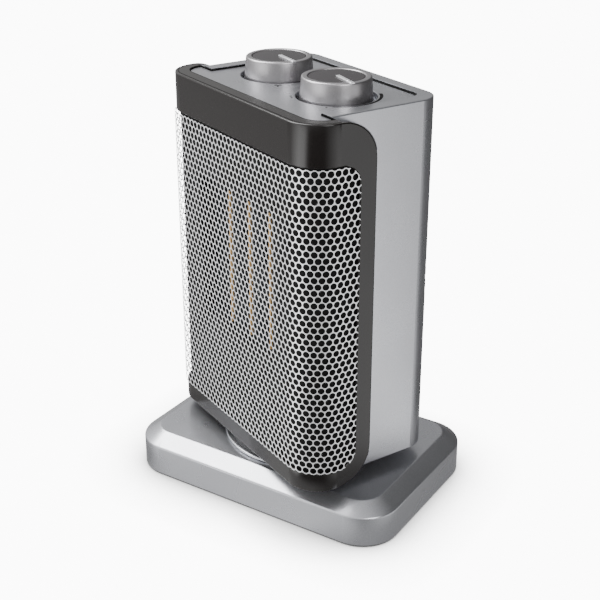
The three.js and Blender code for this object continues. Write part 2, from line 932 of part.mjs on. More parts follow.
function grilleCutters() {
  const flat = bezelHalf - bezelCornerRadius;
  const bend = (bezelCornerRadius + grilleStand) * quarter;
  const halfLength = flat + bend + windowDepth - bezelCornerRadius;
  const clear = gap + holeMargin + holeRadius;
  const reachUp = windowTop - clear - windowMiddle;
  const reachAlong = halfLength - clear;
  const rows = Math.round(reachUp / (holePitch * Math.sin(Math.PI / 3)));
  const columns = Math.round(reachAlong / holePitch);
  const rowPitch = reachUp / rows;
  const pitch = reachAlong / columns;
  const holes = [];
  for (let row = -rows; row <= rows; row += 1) {
    const shift = row % 2 === 0 ? 0 : pitch / 2;
    for (let column = -columns; column <= columns; column += 1) {
      const along = column * pitch + shift;
      if (Math.abs(along) > halfLength) continue;
      const { x, y, turn } = onGrille(along);
      const z = windowMiddle + row * rowPitch;
      if (!holeFits(y, z)) continue;
      const hole = new THREE.CylinderGeometry(holeRadius, holeRadius, overrun, holeSides);
      holes.push(hole.rotateZ(turn).translate(x, y, z));
    }
  }
  return together(holes);
}

function makeFrontGrille() {
  const fit = prismAlongX(windowOutline(gap), -bezelWidth, bezelWidth);
  const core = prismAlongX(windowOutline(gap + grilleThickness), -bezelWidth, bezelWidth);
  const band = (outer, inner) =>
    cut(
      prism(bezelOutline(outer, windowDepth), 0, bodyHeight),
      prism(bezelOutline(inner, windowDepth + overrun), -overrun, bodyHeight + overrun),
    );
  const sheet = common(band(-grilleStand, grilleThickness - grilleStand), fit);
  const edge = cut(common(band(-grilleStand, grilleReturn), fit), core);
  return cut(join(sheet, edge), grilleCutters());
}

// Panel and knobs

const knobPlaces = [-knobSpread / 2, knobSpread / 2];

// The T-shaped plate, its lip under the rim and the two wells
function makeControlPanel() {
  const lipTop = bodyHeight - bezelWall - gap;
  const plate = prism(panelOutline(0), lipTop - panelLipThickness, panelTop);
  const lip = prism(panelOutline(gap + panelLip), lipTop - panelLipThickness, lipTop);
  const wellFloor = panelTop - wellDepth;
  const cups = knobPlaces.map((x) =>
    pin(wellRadius + wellWall, wellFloor - wellWall, lipTop, roundSteps)
      .translate(x, knobDepth, 0),
  );
  const wells = knobPlaces.flatMap((x) => [
    pin(wellRadius, wellFloor, panelTop + overrun, roundSteps).translate(x, knobDepth, 0),
    pin(stemRadius + gap, wellFloor - overrun, panelTop).translate(x, knobDepth, 0),
  ]);
  return cut(join(plate, lip, ...cups), ...wells);
}

// Knobs are made about their own axis, with zero at the panel's top.

const knobCeiling = knobRise - inlayDrop - inlayThickness - knobShell;

// A cap over a hub, with a seat for the inlay and a shallow slot for the pointer
function makeKnob() {
  const inlayFloor = knobRise - inlayDrop - inlayThickness - gap;
  const bore = stemRadius + gap;
  const slotSide = pointerWidth / 2 + gap;
  const slot = box(
    inlayRadius - overrun,
    knobTopRadius + overrun,
    -slotSide,
    slotSide,
    knobRise - inlayDrop,
    knobRise + overrun,
  );
  const cap = turnedAboutZ(
    [
      [0, knobCeiling - gap],
      [bore, knobCeiling - gap],
      [bore, -knobSink],
      [knobHubRadius, -knobSink],
      [knobHubRadius, knobCeiling],
      [knobTopRadius - knobShell, knobCeiling],
      [knobFootRadius - knobShell, -knobSink],
      [knobFootRadius, -knobSink],
      [knobTopRadius, knobRise - knobEdge],
      [knobTopRadius - knobEdge, knobRise],
      [inlayRadius, knobRise],
      [inlayRadius, inlayFloor],
      [0, inlayFloor],
    ],
    roundSteps,
  );
  return cut(cap, slot);
}

function makeInlay() {
  const top = knobRise - inlayDrop;
  return pin(inlayRadius - gap, top - inlayThickness, top, roundSteps);
}

// A flat bar on the inlay, from the knob's middle out over the rim
function makePointer() {
  const bottom = knobRise - inlayDrop + gap;
  return box(
    pointerStart,
    knobTopRadius + pointerOverhang,
    -pointerWidth / 2,
    pointerWidth / 2,
    bottom,
    bottom + pointerHeight,
  );
}

function makeStem() {
  return pin(stemRadius, stemBottom - panelTop, knobCeiling - 2 * gap);
}

// Switches

function makeSwitchBracket() {
  const half = housingInner - gap;
  const plate = box(-half, half, bracketFront, bracketRear, bracketTop - bracketThickness, bracketTop);
  const holes = knobPlaces.map((x) =>
    pin(bushingRadius + gap, bracketTop - bracketThickness - overrun, bracketTop + overrun)
      .translate(x, knobDepth, 0),
  );
  return cut(plate, ...holes);
}

// A switch body under the bracket, with its bushing through it and its stem's socket
function withBushing(body, top) {
  const bushing = pin(bushingRadius, top - bracketThickness, bracketTop + bushingHeight);
  const socket = pin(stemRadius + gap, stemBottom - gap, bracketTop + bushingHeight + overrun);
  return cut(join(body, bushing), socket).translate(0, knobDepth, 0);
}

function makeModeSwitch() {
  const top = bracketTop - bracketThickness - gap;
  const half = switchSize / 2;
  const body = box(-half, half, -half, half, top - switchHeight, top);
  return withBushing(body, top).translate(-knobSpread / 2, 0, 0);
}

function makeThermostat() {
  const top = bracketTop - bracketThickness - gap;
  const body = pin(thermostatRadius, top - thermostatHeight, top, middleSteps);
  return withBushing(body, top).translate(knobSpread / 2, 0, 0);
}

// Heating element

const barFront = elementFront + barSetback;
const barPlaces = [-barPitch, 0, barPitch];
const finPlaces = [-1.5, -0.5, 0.5, 1.5].map((share) => share * barPitch);
const finWidth = barPitch - barWidth - 2 * gap;
const elementHalfWidth = 2 * barPitch - barWidth / 2;
const elementHalfHeight = barLength / 2 + gap;
const elementRear = elementFront + elementFrameDepth;

function makeElementFrame() {
  const outline = (grow) =>
    rectangle(
      -elementHalfWidth - grow,
      elementHalfWidth + grow,
      elementHeight - elementHalfHeight - grow,
      elementHeight + elementHalfHeight + grow,
    );
  return cut(
    prismAlongY(outline(elementRim), elementFront, elementRear),
    prismAlongY(outline(0), elementFront - overrun, elementRear + overrun),
  );
}

function makeCeramicBar(x) {
  return box(
    x - barWidth / 2,
    x + barWidth / 2,
    barFront,
    barFront + barDepth,
    elementHeight - barLength / 2,
    elementHeight + barLength / 2,
  );
}

// One strip of sheet, folded to and fro between two bars
function makeHeatingFin(x) {
  const left = x - finWidth / 2;
  const right = x + finWidth / 2;
  const bottom = elementHeight - barLength / 2;
  const fold = barLength / finFolds;
  const level = (finSheet * finWidth) / fold; // the sloping sheet's thickness, measured level
  const rightSide = [];
  const leftSide = [];
  for (let i = 0; i <= finFolds; i += 1) {
    const height = bottom + i * fold;
    const atLeft = i % 2 === 0;
    rightSide.push(new THREE.Vector2(atLeft ? left + level : right, height));
    leftSide.unshift(new THREE.Vector2(atLeft ? left : right - level, height));
  }
  const outline = [...rightSide, ...leftSide];
  return prismAlongY(outline, barFront + finSetback, barFront + barDepth - finSetback);
}

// A block under the frame with three flat tabs
function makeTerminals() {
  const top = elementHeight - elementHalfHeight - elementRim - gap;
  const middle = elementFront + elementFrameDepth / 2;
  const block = box(
    -terminalWidth / 2,
    terminalWidth / 2,
    middle - terminalDepth / 2,
    middle + terminalDepth / 2,
    top - terminalHeight,
    top,
  );
  const tabs = [-1, 0, 1].map((i) =>
    box(
      i * tabPitch - tabWidth / 2,
      i * tabPitch + tabWidth / 2,
      middle - tabThickness / 2,
      middle + tabThickness / 2,
      top - terminalHeight - tabLength,
      top - terminalHeight / 2,
    ),
  );
  return join(block, ...tabs);
}

// A round cut-out with its flange against the duct's plate
function makeThermalCutout() {
  const rear = ductFront - gap;
  const height = elementHeight + elementHalfHeight + elementRim + cutoutRise;
  const can = pinAboutY(cutoutRadius, rear - cutoutDepth, rear);
  return can.translate(barPitch, 0, height);
}

// Fan

function makeFanDuct() {
  const plateRear = ductFront + ductPlateThickness;
  const half = housingInner - ductPlateGap;
  const plate = prismAlongY(
    rectangle(-half, half, ductPlateBottom, bodyHeight - ductHeadroom),
    ductFront,
    plateRear,
  );
  const tube = ringAboutY(
    ductRadius,
    ductRadius + ductWall,
    ductFront + ductPlateThickness / 2,
    ductRear,
  ).translate(0, 0, fanHeight);
  const mouth = pinAboutY(ductRadius, ductFront - overrun, plateRear + overrun, roundSteps)
    .translate(0, 0, fanHeight);
  const posts = screwPlaces.map(([x, z]) =>
    pinAboutY(postRadius, ductFront + ductPlateThickness / 2, postTop).translate(x, 0, z),
  );
  const bores = screwPlaces.map(([x, z]) =>
    pinAboutY(housingScrewRadius + gap, postTop - housingScrewLength, postTop + overrun)
      .translate(x, 0, z),
  );
  return cut(join(cut(plate, mouth), tube, ...posts), ...bores);
}

// A rim in the duct, a plate for the motor and the arms between them
function makeMotorBracket() {
  const outer = ductRadius - gap;
  const rim = outer - spiderRimWidth;
  const rear = spiderDepth + spiderThickness;
  const whole = pinAboutY(outer, spiderDepth, rear, roundSteps);
  const arm = THREE.MathUtils.degToRad(spiderArmTurn) / 2;
  const pitch = (4 * quarter) / spiderArms;
  const windows = Array.from({ length: spiderArms }, (_, i) => {
    const from = quarter + i * pitch + arm;
    const to = quarter + (i + 1) * pitch - arm;
    const outline = [
      ...arc(0, 0, rim, from, to, 2 * cornerSteps),
      ...arc(0, 0, spiderHubRadius, to, from),
    ];
    return prismAlongY(outline, spiderDepth - overrun, rear + overrun);
  });
  const hole = pinAboutY(fanShaftRadius + 2 * gap, spiderDepth - overrun, rear + overrun);
  return cut(whole, together(windows), hole).translate(0, 0, fanHeight);
}

function makeFanMotor() {
  const rear = spiderDepth - gap;
  const bore = fanShaftRadius + gap;
  return turnedAboutY(
    [
      [0, rear - fanMotorDepth],
      [fanMotorRadius, rear - fanMotorDepth],
      [fanMotorRadius, rear],
      [bore, rear],
      [bore, rear - fanShaftSocket],
      [0, rear - fanShaftSocket],
    ],
    middleSteps,
  ).translate(0, 0, fanHeight);
}

function makeFanShaft() {
  return pinAboutY(
    fanShaftRadius,
    spiderDepth - fanShaftSocket,
    fanFront + fanHubDepth - gap,
  ).translate(0, 0, fanHeight);
}

// A blade's section: a thin strip, turned to its pitch
function bladeSection(chord, pitchDegrees) {
  const pitch = THREE.MathUtils.degToRad(pitchDegrees);
  const middle = new THREE.Vector2(0, 0);
  return rectangle(-chord / 2, chord / 2, -bladeThickness / 2, bladeThickness / 2)
    .map((point) => point.rotateAround(middle, pitch));
}

function makeImpeller() {
  const hub = pinAboutY(fanHubRadius, fanFront, fanFront + fanHubDepth, middleSteps);
  const middle = fanFront + fanHubDepth / 2;
  const sections = Array.from({ length: bladeStations + 1 }, (_, i) => {
    const share = i / bladeStations;
    const chord = THREE.MathUtils.lerp(bladeRootChord, bladeTipChord, share);
    const pitch = THREE.MathUtils.lerp(bladeRootPitch, bladeTipPitch, share);
    const radius = THREE.MathUtils.lerp(fanHubRadius - bladeThickness, fanRadius, share);
    return [bladeSection(chord, pitch), radius];
  });
  const blades = Array.from({ length: fanBlades }, (_, i) =>
    loft(sections).rotateY((4 * quarter * i) / fanBlades).translate(0, middle, 0),
  );
  const bore = pinAboutY(fanShaftRadius + gap, fanFront - overrun, fanFront + fanHubDepth + overrun);
  return cut(join(hub, ...blades), bore).translate(0, 0, fanHeight);
}

// Swing drive

function makeSwingRing() {
  return ring(slideRingRadius - slideRingWidth, slideRingRadius, gap - swingGap, -gap, roundSteps)
    .translate(0, axisDepth, 0);
}

// A flat can on the body's floor, with its shaft down through the floor
function makeSwingMotor() {
  const bottom = floorTop + gap;
  const can = pin(swingMotorRadius, bottom, bottom + swingMotorHeight, middleSteps)
    .translate(0, -swingMotorOffset, 0);
  const shaft = pin(motorShaftRadius, gap - swingGap, bottom + gap);
  return join(can, shaft).translate(0, axisDepth + pinionDistance, 0);
}

// Teeth below the floor, and a neck up through it on the motor's shaft
function makeDrivePinion() {
  const bottom = gap - swingGap;
  const pitch = (4 * quarter) / pinionTeeth;
  const teeth = Array.from({ length: pinionTeeth }, (_, i) =>
    tooth(pinionTeeth, (i + 0.5) * pitch - quarter),
  ).flat();
  const gear = prism(teeth, bottom, bottom + gearThickness);
  const neck = pin(pinionNeckRadius, bottom, floorTop);
  const bore = pin(pinionBoreRadius, bottom - overrun, floorTop + overrun);
  return cut(join(gear, neck), bore);
}

// Screws and the terminal block

function makeHousingScrew(x, z) {
  const seat = bodyDepth - counterboreDepth + gap;
  return turnedAboutY(
    [
      [0, seat - housingScrewLength],
      [housingScrewRadius, seat - housingScrewLength],
      [housingScrewRadius, seat],
      [housingScrewHeadRadius, seat],
      [housingScrewHeadRadius, seat + housingScrewHeadHeight],
      [0, seat + housingScrewHeadHeight],
    ],
    smallSteps,
  ).translate(x, 0, z);
}

function makeTerminalBlock() {
  const bottom = floorTop + gap;
  const top = bottom + blockHeight;
  const left = blockInset - housingHalf;
  const middle = (axisDepth + bodyDepth) / 2;
  const front = middle - blockDepth / 2;
  const body = box(left, left + blockWidth, front, front + blockDepth, bottom, top);
  const pitch = blockWidth / blockWays;
  const ways = Array.from({ length: blockWays }, (_, i) => {
    const x = left + (i + 0.5) * pitch;
    const half = blockWayWidth / 2;
    return box(x - half, x + half, front - overrun, front + blockWayDepth, top - blockWayDepth, top + overrun);
  });
  return cut(body, together(ways));
}

// Finishes, a new one for each mesh
const finish = (color, roughness, metalness) => () =>
  new THREE.MeshStandardMaterial({ color, roughness, metalness, flatShading: true });
const silverPaint = finish(0xb4b5ba, 0.42, 0.55);
const darkPlastic = finish(0x3d393b, 0.34, 0.1);
const blackPlastic = finish(0x1b1b1d, 0.5, 0);
const grilleMetal = finish(0xb9bac2, 0.4, 0.75);
const knobSilver = finish(0xb8b6bb, 0.35, 0.7);
const inlayGloss = finish(0x2b282c, 0.12, 0.2);
const pointerMetal = finish(0xd0d0d4, 0.25, 0.85);
const steel = finish(0x9c9ea2, 0.35, 0.9);
const aluminium = finish(0xc3c5c8, 0.35, 0.9);
const ceramic = finish(0xcdb893, 0.75, 0);
const whitePlastic = finish(0xdeddd6, 0.5, 0);
const rubber = finish(0x202022, 0.85, 0);

function add(parent, name, geometry, material) {
  const mesh = new THREE.Mesh(geometry, material());
  mesh.name = name;
  parent.add(mesh);
  return mesh;
}

function addBase(parent) {
  add(parent, "base_cover", makeBaseCover(), silverPaint);
  add(parent, "base_plate", makeBasePlate(), blackPlastic);
  footPlaces.forEach(([x, y], i) => {
    add(parent, `foot_${i + 1}`, makeFoot(), rubber).position.set(x, y, 0);
  });
  postPlaces.forEach(([x, y], i) => {
    add(parent, `base_screw_${i + 1}`, makeBaseScrew(), steel).position.set(x, y, 0);
  });
  add(parent, "cord_gland", makeCordGland(), blackPlastic);
  add(parent, "tip_switch", makeTipSwitch(), blackPlastic);
  add(parent, "tip_plunger", makeTipPlunger(), whitePlastic);
  add(parent, "turntable_disc", makeTurntableDisc(), silverPaint);
  add(parent, "sector_gear", makeSectorGear(), whitePlastic);
  add(parent, "spindle", makeSpindle(), steel);
  add(parent, "spindle_washer", makeSpindleWasher(), whitePlastic);
  add(parent, "spindle_clip", makeSpindleClip(), steel);
}

function addShell(parent) {
  add(parent, "rear_housing", makeRearHousing(), silverPaint);
  add(parent, "front_bezel", makeFrontBezel(), darkPlastic);
  add(parent, "front_grille", makeFrontGrille(), grilleMetal);
  add(parent, "control_panel", makeControlPanel(), silverPaint);
  screwPlaces.forEach(([x, z], i) => {
    add(parent, `housing_screw_${i + 1}`, makeHousingScrew(x, z), steel);
  });
}

function addElement(parent) {
  add(parent, "element_frame", makeElementFrame(), blackPlastic);
  barPlaces.forEach((x, i) => {
    add(parent, `ceramic_bar_${i + 1}`, makeCeramicBar(x), ceramic);
  });
  finPlaces.forEach((x, i) => {
    add(parent, `heating_fin_${i + 1}`, makeHeatingFin(x), aluminium);
  });
  add(parent, "element_terminals", makeTerminals(), ceramic);
  add(parent, "thermal_cutout", makeThermalCutout(), steel);
}

function addFan(parent) {
  add(parent, "fan_duct", makeFanDuct(), blackPlastic);
  add(parent, "motor_bracket", makeMotorBracket(), blackPlastic);
  add(parent, "fan_motor", makeFanMotor(), steel);
  add(parent, "fan_shaft", makeFanShaft(), steel);
  add(parent, "fan_impeller", makeImpeller(), blackPlastic);
}

function addSwingDrive(parent) {
  add(parent, "swing_ring", makeSwingRing(), blackPlastic);
  add(parent, "swing_motor", makeSwingMotor(), steel);
  const pinion = add(parent, "drive_pinion", makeDrivePinion(), whitePlastic);
  pinion.position.set(0, axisDepth + pinionDistance, 0);
  pinion.rotation.z = THREE.MathUtils.degToRad(restTurn) * (sectorTeeth / pinionTeeth);
}

function addControls(parent) {
  add(parent, "switch_bracket", makeSwitchBracket(), steel);
  add(parent, "mode_switch", makeModeSwitch(), blackPlastic);
  add(parent, "thermostat", makeThermostat(), steel);
  ["mode", "thermostat"].forEach((name, i) => {
    const knob = new THREE.Group();
    knob.position.set(knobPlaces[i], knobDepth, panelTop);
    knob.rotation.z = THREE.MathUtils.degToRad(i === 0 ? modeTurn : thermostatTurn);
    add(knob, `${name}_knob`, makeKnob(), knobSilver);
    add(knob, `${name}_inlay`, makeInlay(), inlayGloss);
    add(knob, `${name}_pointer`, makePointer(), pointerMetal);
    add(knob, `${name}_stem`, makeStem(), steel);
    parent.add(knob);
  });
}

const heater = new THREE.Group();
addBase(heater);

// The swing turns about the origin; the body inside it starts at the bezel's front.
const swing = new THREE.Group();
swing.rotation.z = THREE.MathUtils.degToRad(restTurn);
heater.add(swing);

const body = new THREE.Group();
body.position.set(0, -axisDepth, bodyLift);
swing.add(body);
addShell(body);
addElement(body);
addFan(body);
addSwingDrive(body);
addControls(body);
add(body, "terminal_block", makeTerminalBlock(), whitePlastic);

export default heater;
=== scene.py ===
# Ceramic space heater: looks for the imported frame.
# Metres, +Z up, and the body turned 24 degrees on its base.
import json
import math

import bmesh
import bpy
from mathutils import Matrix, Vector


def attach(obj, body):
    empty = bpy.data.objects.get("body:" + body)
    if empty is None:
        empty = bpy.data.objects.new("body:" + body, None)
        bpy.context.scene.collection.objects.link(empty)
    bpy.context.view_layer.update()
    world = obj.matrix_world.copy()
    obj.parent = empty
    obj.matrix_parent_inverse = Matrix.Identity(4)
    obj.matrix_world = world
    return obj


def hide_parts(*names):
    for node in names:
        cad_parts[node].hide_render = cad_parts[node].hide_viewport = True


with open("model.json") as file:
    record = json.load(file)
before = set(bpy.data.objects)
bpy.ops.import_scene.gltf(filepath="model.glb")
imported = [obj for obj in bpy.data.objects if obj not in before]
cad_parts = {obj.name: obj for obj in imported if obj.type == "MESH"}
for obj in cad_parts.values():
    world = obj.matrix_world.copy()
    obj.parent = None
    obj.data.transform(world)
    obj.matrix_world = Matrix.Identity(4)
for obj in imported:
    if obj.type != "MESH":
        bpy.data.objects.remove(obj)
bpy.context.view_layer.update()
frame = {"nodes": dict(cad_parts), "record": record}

mm = 0.001
bodyPose = {"turn": -24, "axisDepth": 49.6, "lift": 34.6}  # how the body's own frame is placed
inBody = (
    Matrix.Rotation(math.radians(bodyPose["turn"]), 4, "Z")
    @ Matrix.Translation((0, -bodyPose["axisDepth"] * mm, bodyPose["lift"] * mm))
    @ Matrix.Scale(mm, 4)
)
inFrame = Matrix.Scale(mm, 4)


# Camera

cameraSetup = {
    "location": (0.3652, -0.5714, 0.4362),
    "forward": (-0.497, 0.77652, -0.38732),
    "lens": 69.233,
    "shift": -0.07,  # a part of the photograph's own shift
}
cameraData = bpy.data.cameras.new("photoCamera")
cameraData.lens = cameraSetup["lens"]
cameraData.sensor_width = 36
cameraData.shift_y = cameraSetup["shift"]
camera = bpy.data.objects.new("photoCamera", cameraData)
camera.location = cameraSetup["location"]
camera.rotation_euler = Vector(cameraSetup["forward"]).to_track_quat("-Z", "Y").to_euler()
bpy.context.scene.collection.objects.link(camera)
bpy.context.scene.camera = camera
print("camera:", cameraSetup["lens"], "mm lens")


# Materials

def linearColour(hexColour):
    parts = [int(hexColour[i : i + 2], 16) / 255 for i in (1, 3, 5)]
    return [p / 12.92 if p <= 0.04045 else ((p + 0.055) / 1.055) ** 2.4 for p in parts] + [1]


def addNode(tree, kind, settings=(), links=()):
    node = tree.nodes.new(kind)
    for key, value in dict(settings).items():
        if isinstance(key, str) and hasattr(node, key):
            setattr(node, key, value)
        else:
            node.inputs[key].default_value = value
    for key, source in dict(links).items():
        tree.links.new(source, node.inputs[key])
    return node


def makeFinish(name, recipe):
    # grain, patch and bumpDepth are in millimetres; all are drawn coarser than real, to show
    material = bpy.data.materials.new(name)
    material.use_nodes = True
    tree = material.node_tree
    shader = tree.nodes["Principled BSDF"]
    shader.inputs["Metallic"].default_value = recipe.get("metallic", 0)
    if "ior" in recipe:
        shader.inputs["IOR"].default_value = recipe["ior"]
    place = addNode(tree, "ShaderNodeTexCoord")
    grain = addNode(
        tree,
        "ShaderNodeTexNoise",
        {"Scale": 1000 / recipe["grain"], "Detail": 2, "Roughness": 0.55},
        {"Vector": place.outputs["Object"]},
    )
    patches = addNode(
        tree,
        "ShaderNodeTexNoise",
        {"Scale": 1000 / recipe.get("patch", 40), "Detail": 3, "Roughness": 0.5},
        {"Vector": place.outputs["Object"]},
    )
    spots = addNode(  # of a colour Mix, sockets 0, 6 and 7 are Factor, A and B
        tree,
        "ShaderNodeMix",
        {"data_type": "RGBA", 6: linearColour(recipe["dark"]), 7: linearColour(recipe["light"])},
        {0: grain.outputs["Fac"]},
    )
    tree.links.new(spots.outputs[2], shader.inputs["Base Color"])
    low, high = recipe["roughness"]
    sheen = addNode(
        tree,
        "ShaderNodeMapRange",
        {"From Min": 0.3, "From Max": 0.7, "To Min": low, "To Max": high},
        {"Value": patches.outputs["Fac"]},
    )
    tree.links.new(sheen.outputs["Result"], shader.inputs["Roughness"])
    bump = addNode(
        tree,
        "ShaderNodeBump",
        {"Strength": recipe.get("bump", 0.2), "Distance": recipe.get("bumpDepth", 0.02) * mm},
        {"Height": grain.outputs["Fac"]},
    )
    tree.links.new(bump.outputs["Normal"], shader.inputs["Normal"])
    return material


finishes = {
    # ABS under metallic paint: fine aluminium flakes, soft satin
    "silver_paint": makeFinish(
        "silverPaintedABS",
        {"dark": "#a6a7ac", "light": "#c3c4c8", "metallic": 0.9, "roughness": (0.25, 0.31),
         "grain": 0.7, "bump": 0.2, "bumpDepth": 0.03},
    ),
    # moulded ABS in a warm dark grey, satin
    "dark_plastic": makeFinish(
        "gunmetalABS",
        {"dark": "#120f0e", "light": "#1a1716", "roughness": (0.14, 0.2), "ior": 1.45,
         "grain": 0.6, "bump": 0.1, "bumpDepth": 0.01},
    ),
    # punched sheet steel, sprayed silver
    "grille_metal": makeFinish(
        "paintedPunchedSteel",
        {"dark": "#e4e5e7", "light": "#f3f3f5", "metallic": 0.45, "roughness": (0.32, 0.38),
         "grain": 0.5, "bump": 0.1, "bumpDepth": 0.02},
    ),
    # the same metallic paint on ABS, with finer flakes: smoother and a little darker
    "knob_silver": makeFinish(
        "silverPaintedKnobABS",
        {"dark": "#a09ea0", "light": "#adabad", "metallic": 0.95, "roughness": (0.3, 0.35),
         "grain": 0.4, "bump": 0.06, "bumpDepth": 0.02},
    ),
    # tinted acrylic disc: dark, semi-gloss
    "inlay_gloss": makeFinish(
        "darkTintedAcrylic",
        {"dark": "#1d191c", "light": "#252124", "roughness": (0.16, 0.22), "ior": 1.45,
         "grain": 0.5, "bump": 0.03},
    ),
    # die-cast zinc with satin plating: the brightest metal on it
    "pointer_metal": makeFinish(
        "satinPlatedZinc",
        {"dark": "#e2e2e5", "light": "#ebebee", "metallic": 0.7, "roughness": (0.25, 0.3),
         "grain": 0.4, "bump": 0.05},
    ),
    # glass-filled nylon, moulded: dull, for what lies inside
    "black_plastic": makeFinish(
        "blackNylon",
        {"dark": "#141415", "light": "#1f1f20", "roughness": (0.45, 0.6), "grain": 0.5},
    ),
    # near-black matt: painted shade on the sheet behind the holes and on the linings of the seams,
    # and the ink of the printed dial marks; takes nearly all light
    "shade_and_print_black": makeFinish(
        "paintedShadeAndPrintBlack",
        {"dark": "#060606", "light": "#0b0a0a", "roughness": (0.75, 0.9), "ior": 1.3,
         "grain": 0.5},
    ),
    # unfilled nylon, moulded: creamy and faintly waxy
    "white_plastic": makeFinish(
        "naturalNylon",
        {"dark": "#d2cdc0", "light": "#dfdbd0", "roughness": (0.4, 0.5), "grain": 0.6},
    ),
    # zinc plated steel: bright with a faint bloom
    "steel": makeFinish(
        "zincPlatedSteel",
        {"dark": "#9c9d9e", "light": "#b4b4b2", "metallic": 1, "roughness": (0.28, 0.42),
         "grain": 0.6, "patch": 8},
    ),
    # thin rolled aluminium of the fins
    "aluminium": makeFinish(
        "rolledAluminium",
        {"dark": "#77797c", "light": "#8c8e91", "metallic": 1, "roughness": (0.3, 0.4),
         "grain": 0.8, "patch": 10},
    ),
    # fired ceramic: chalky, fine grit
    "ceramic": makeFinish(
        "firedCeramic",
        {"dark": "#c39a63", "light": "#d6b07c", "roughness": (0.7, 0.85), "grain": 0.35,
         "bump": 0.5, "bumpDepth": 0.05},
    ),
    # moulded rubber: dull, slightly chalked
    "rubber": makeFinish(
        "mouldedRubber",
        {"dark": "#19191a", "light": "#262627", "roughness": (0.7, 0.85), "grain": 0.5,
         "bump": 0.3, "bumpDepth": 0.04},
    ),
}
print("materials:", len(finishes))

slotOf = {row["node"]: row["material_slot"] for row in frame["record"]["subparts"]}
for node, slotName in slotOf.items():
    part = frame["nodes"][node]
    if not part.material_slots:
        part.data.materials.append(None)
    for materialSlot in part.material_slots:
        materialSlot.material = finishes[slotName]


# Shared by the pieces

near = 0.01  # millimetres within which two places count as one
weld = 1e-4
sharpTurn = 1  # radians: an edge that turns by more is rounded
flatArea = 900 * mm**2  # a face larger than this is shaded flat
squareTo = 0.9999  # and so is one that faces along an axis of its body, to this cosine


def vertsOf(items):
    return [item for item in items if isinstance(item, bmesh.types.BMVert)]


def allOf(bm):
    return bm.verts[:] + bm.edges[:] + bm.faces[:]


def setAside(bm, name):
    # the shape so far as a mesh; joined() puts such parts of a piece together
    mesh = bpy.data.meshes.new(name)
    bm.to_mesh(mesh)
    bm.free()
    return mesh


def joined(parts):
    bm = bmesh.new()
    for part in parts:
        bm.from_mesh(part)
        bpy.data.meshes.remove(part)
    return bm


def outlinesOnly(bm):
    bmesh.ops.delete(bm, geom=bm.faces[:], context="FACES_ONLY")


def fillOutlines(bm):
    bmesh.ops.triangle_fill(bm, use_beauty=True, edges=bm.edges[:])


def thicken(bm, shift):
    rear = bmesh.ops.extrude_face_region(bm, geom=bm.faces[:], use_keep_orig=True)["geom"]
    bmesh.ops.translate(bm, verts=vertsOf(rear), vec=shift)
    bmesh.ops.recalc_face_normals(bm, faces=bm.faces[:])


def roundEdges(bm, edges, radius, segments=3):
    bmesh.ops.bevel(
        bm, geom=edges, offset=radius, segments=segments, profile=0.5, affect="EDGES", material=-1
    )


def roundCorners(bm, verts, radius, segments):
    bmesh.ops.bevel(
        bm, geom=verts, offset=radius, segments=segments, profile=0.5, affect="VERTICES",
        material=-1,
    )


def sharpEdges(bm, test=lambda edge: True):
    return [edge for edge in bm.edges if edge.calc_face_angle(0) > sharpTurn and test(edge)]


def turnProfile(bm, points, steps):
    # a chain of radius and height, spun all the way round
    verts = [bm.verts.new((radius, 0, height)) for radius, height in points]
    edges = [bm.edges.new(pair) for pair in zip(verts, verts[1:])]
    bmesh.ops.spin(
        bm, geom=verts + edges, cent=(0, 0, 0), axis=(0, 0, 1), angle=2 * math.pi,
        steps=steps, use_merge=True,
    )
    bmesh.ops.remove_doubles(bm, verts=bm.verts[:], dist=weld)
    bmesh.ops.recalc_face_normals(bm, faces=bm.faces[:])


def bevelled(points, radius, steps):
    # the chain with its inner corners rounded
    chain = [Vector(point) for point in points]
    made = [chain[0]]
    for before, corner, after in zip(chain, chain[1:], chain[2:]):
        reach = min(radius, (before - corner).length * 0.49, (after - corner).length * 0.49)
        start = corner + (before - corner).normalized() * reach
        end = corner + (after - corner).normalized() * reach
        for step in range(steps + 1):
            t = step / steps
            made.append(start * (1 - t) ** 2 + corner * 2 * t * (1 - t) + end * t**2)
    return made + [chain[-1]]


def roundedSheet(bm, left, right, low, high, radius, steps):
    verts = bmesh.ops.create_grid(bm, x_segments=1, y_segments=1, size=0.5)["verts"]
    for vert in verts:
        vert.co = Vector((left if vert.co.x < 0 else right, 0, low if vert.co.y < 0 else high))
    roundCorners(bm, verts, radius, steps)


def bisectAt(bm, point, normal, clear=False):
    bmesh.ops.bisect_plane(
        bm, geom=allOf(bm), dist=weld, plane_co=point, plane_no=normal, clear_outer=clear
    )


def cutBend(bm, flat, radius, cuts):
    # cuts across the developed sheet, so that the bend comes out round
    for cut in range(cuts + 1):
        along = flat + radius * math.pi / 2 * cut / cuts
        bisectAt(bm, (along, 0, 0), (1, 0, 0))
        bisectAt(bm, (-along, 0, 0), (1, 0, 0))


def bendRound(bm, flat, radius):
    # the developed sheet goes a quarter turn back at both ends of its flat part
    bend = radius * math.pi / 2
    for vert in bm.verts:
        along, depth, height = vert.co
        side = -1 if along < 0 else 1
        distance = abs(along)
        if distance <= flat:
            continue
        if distance <= flat + bend:
            angle = (distance - flat) / radius
            reach = radius - depth
            along, depth = flat + reach * math.sin(angle), radius - reach * math.cos(angle)
            vert.co = (side * along, depth, height)
        else:
            vert.co = (side * (flat + radius - depth), radius + distance - flat - bend, height)


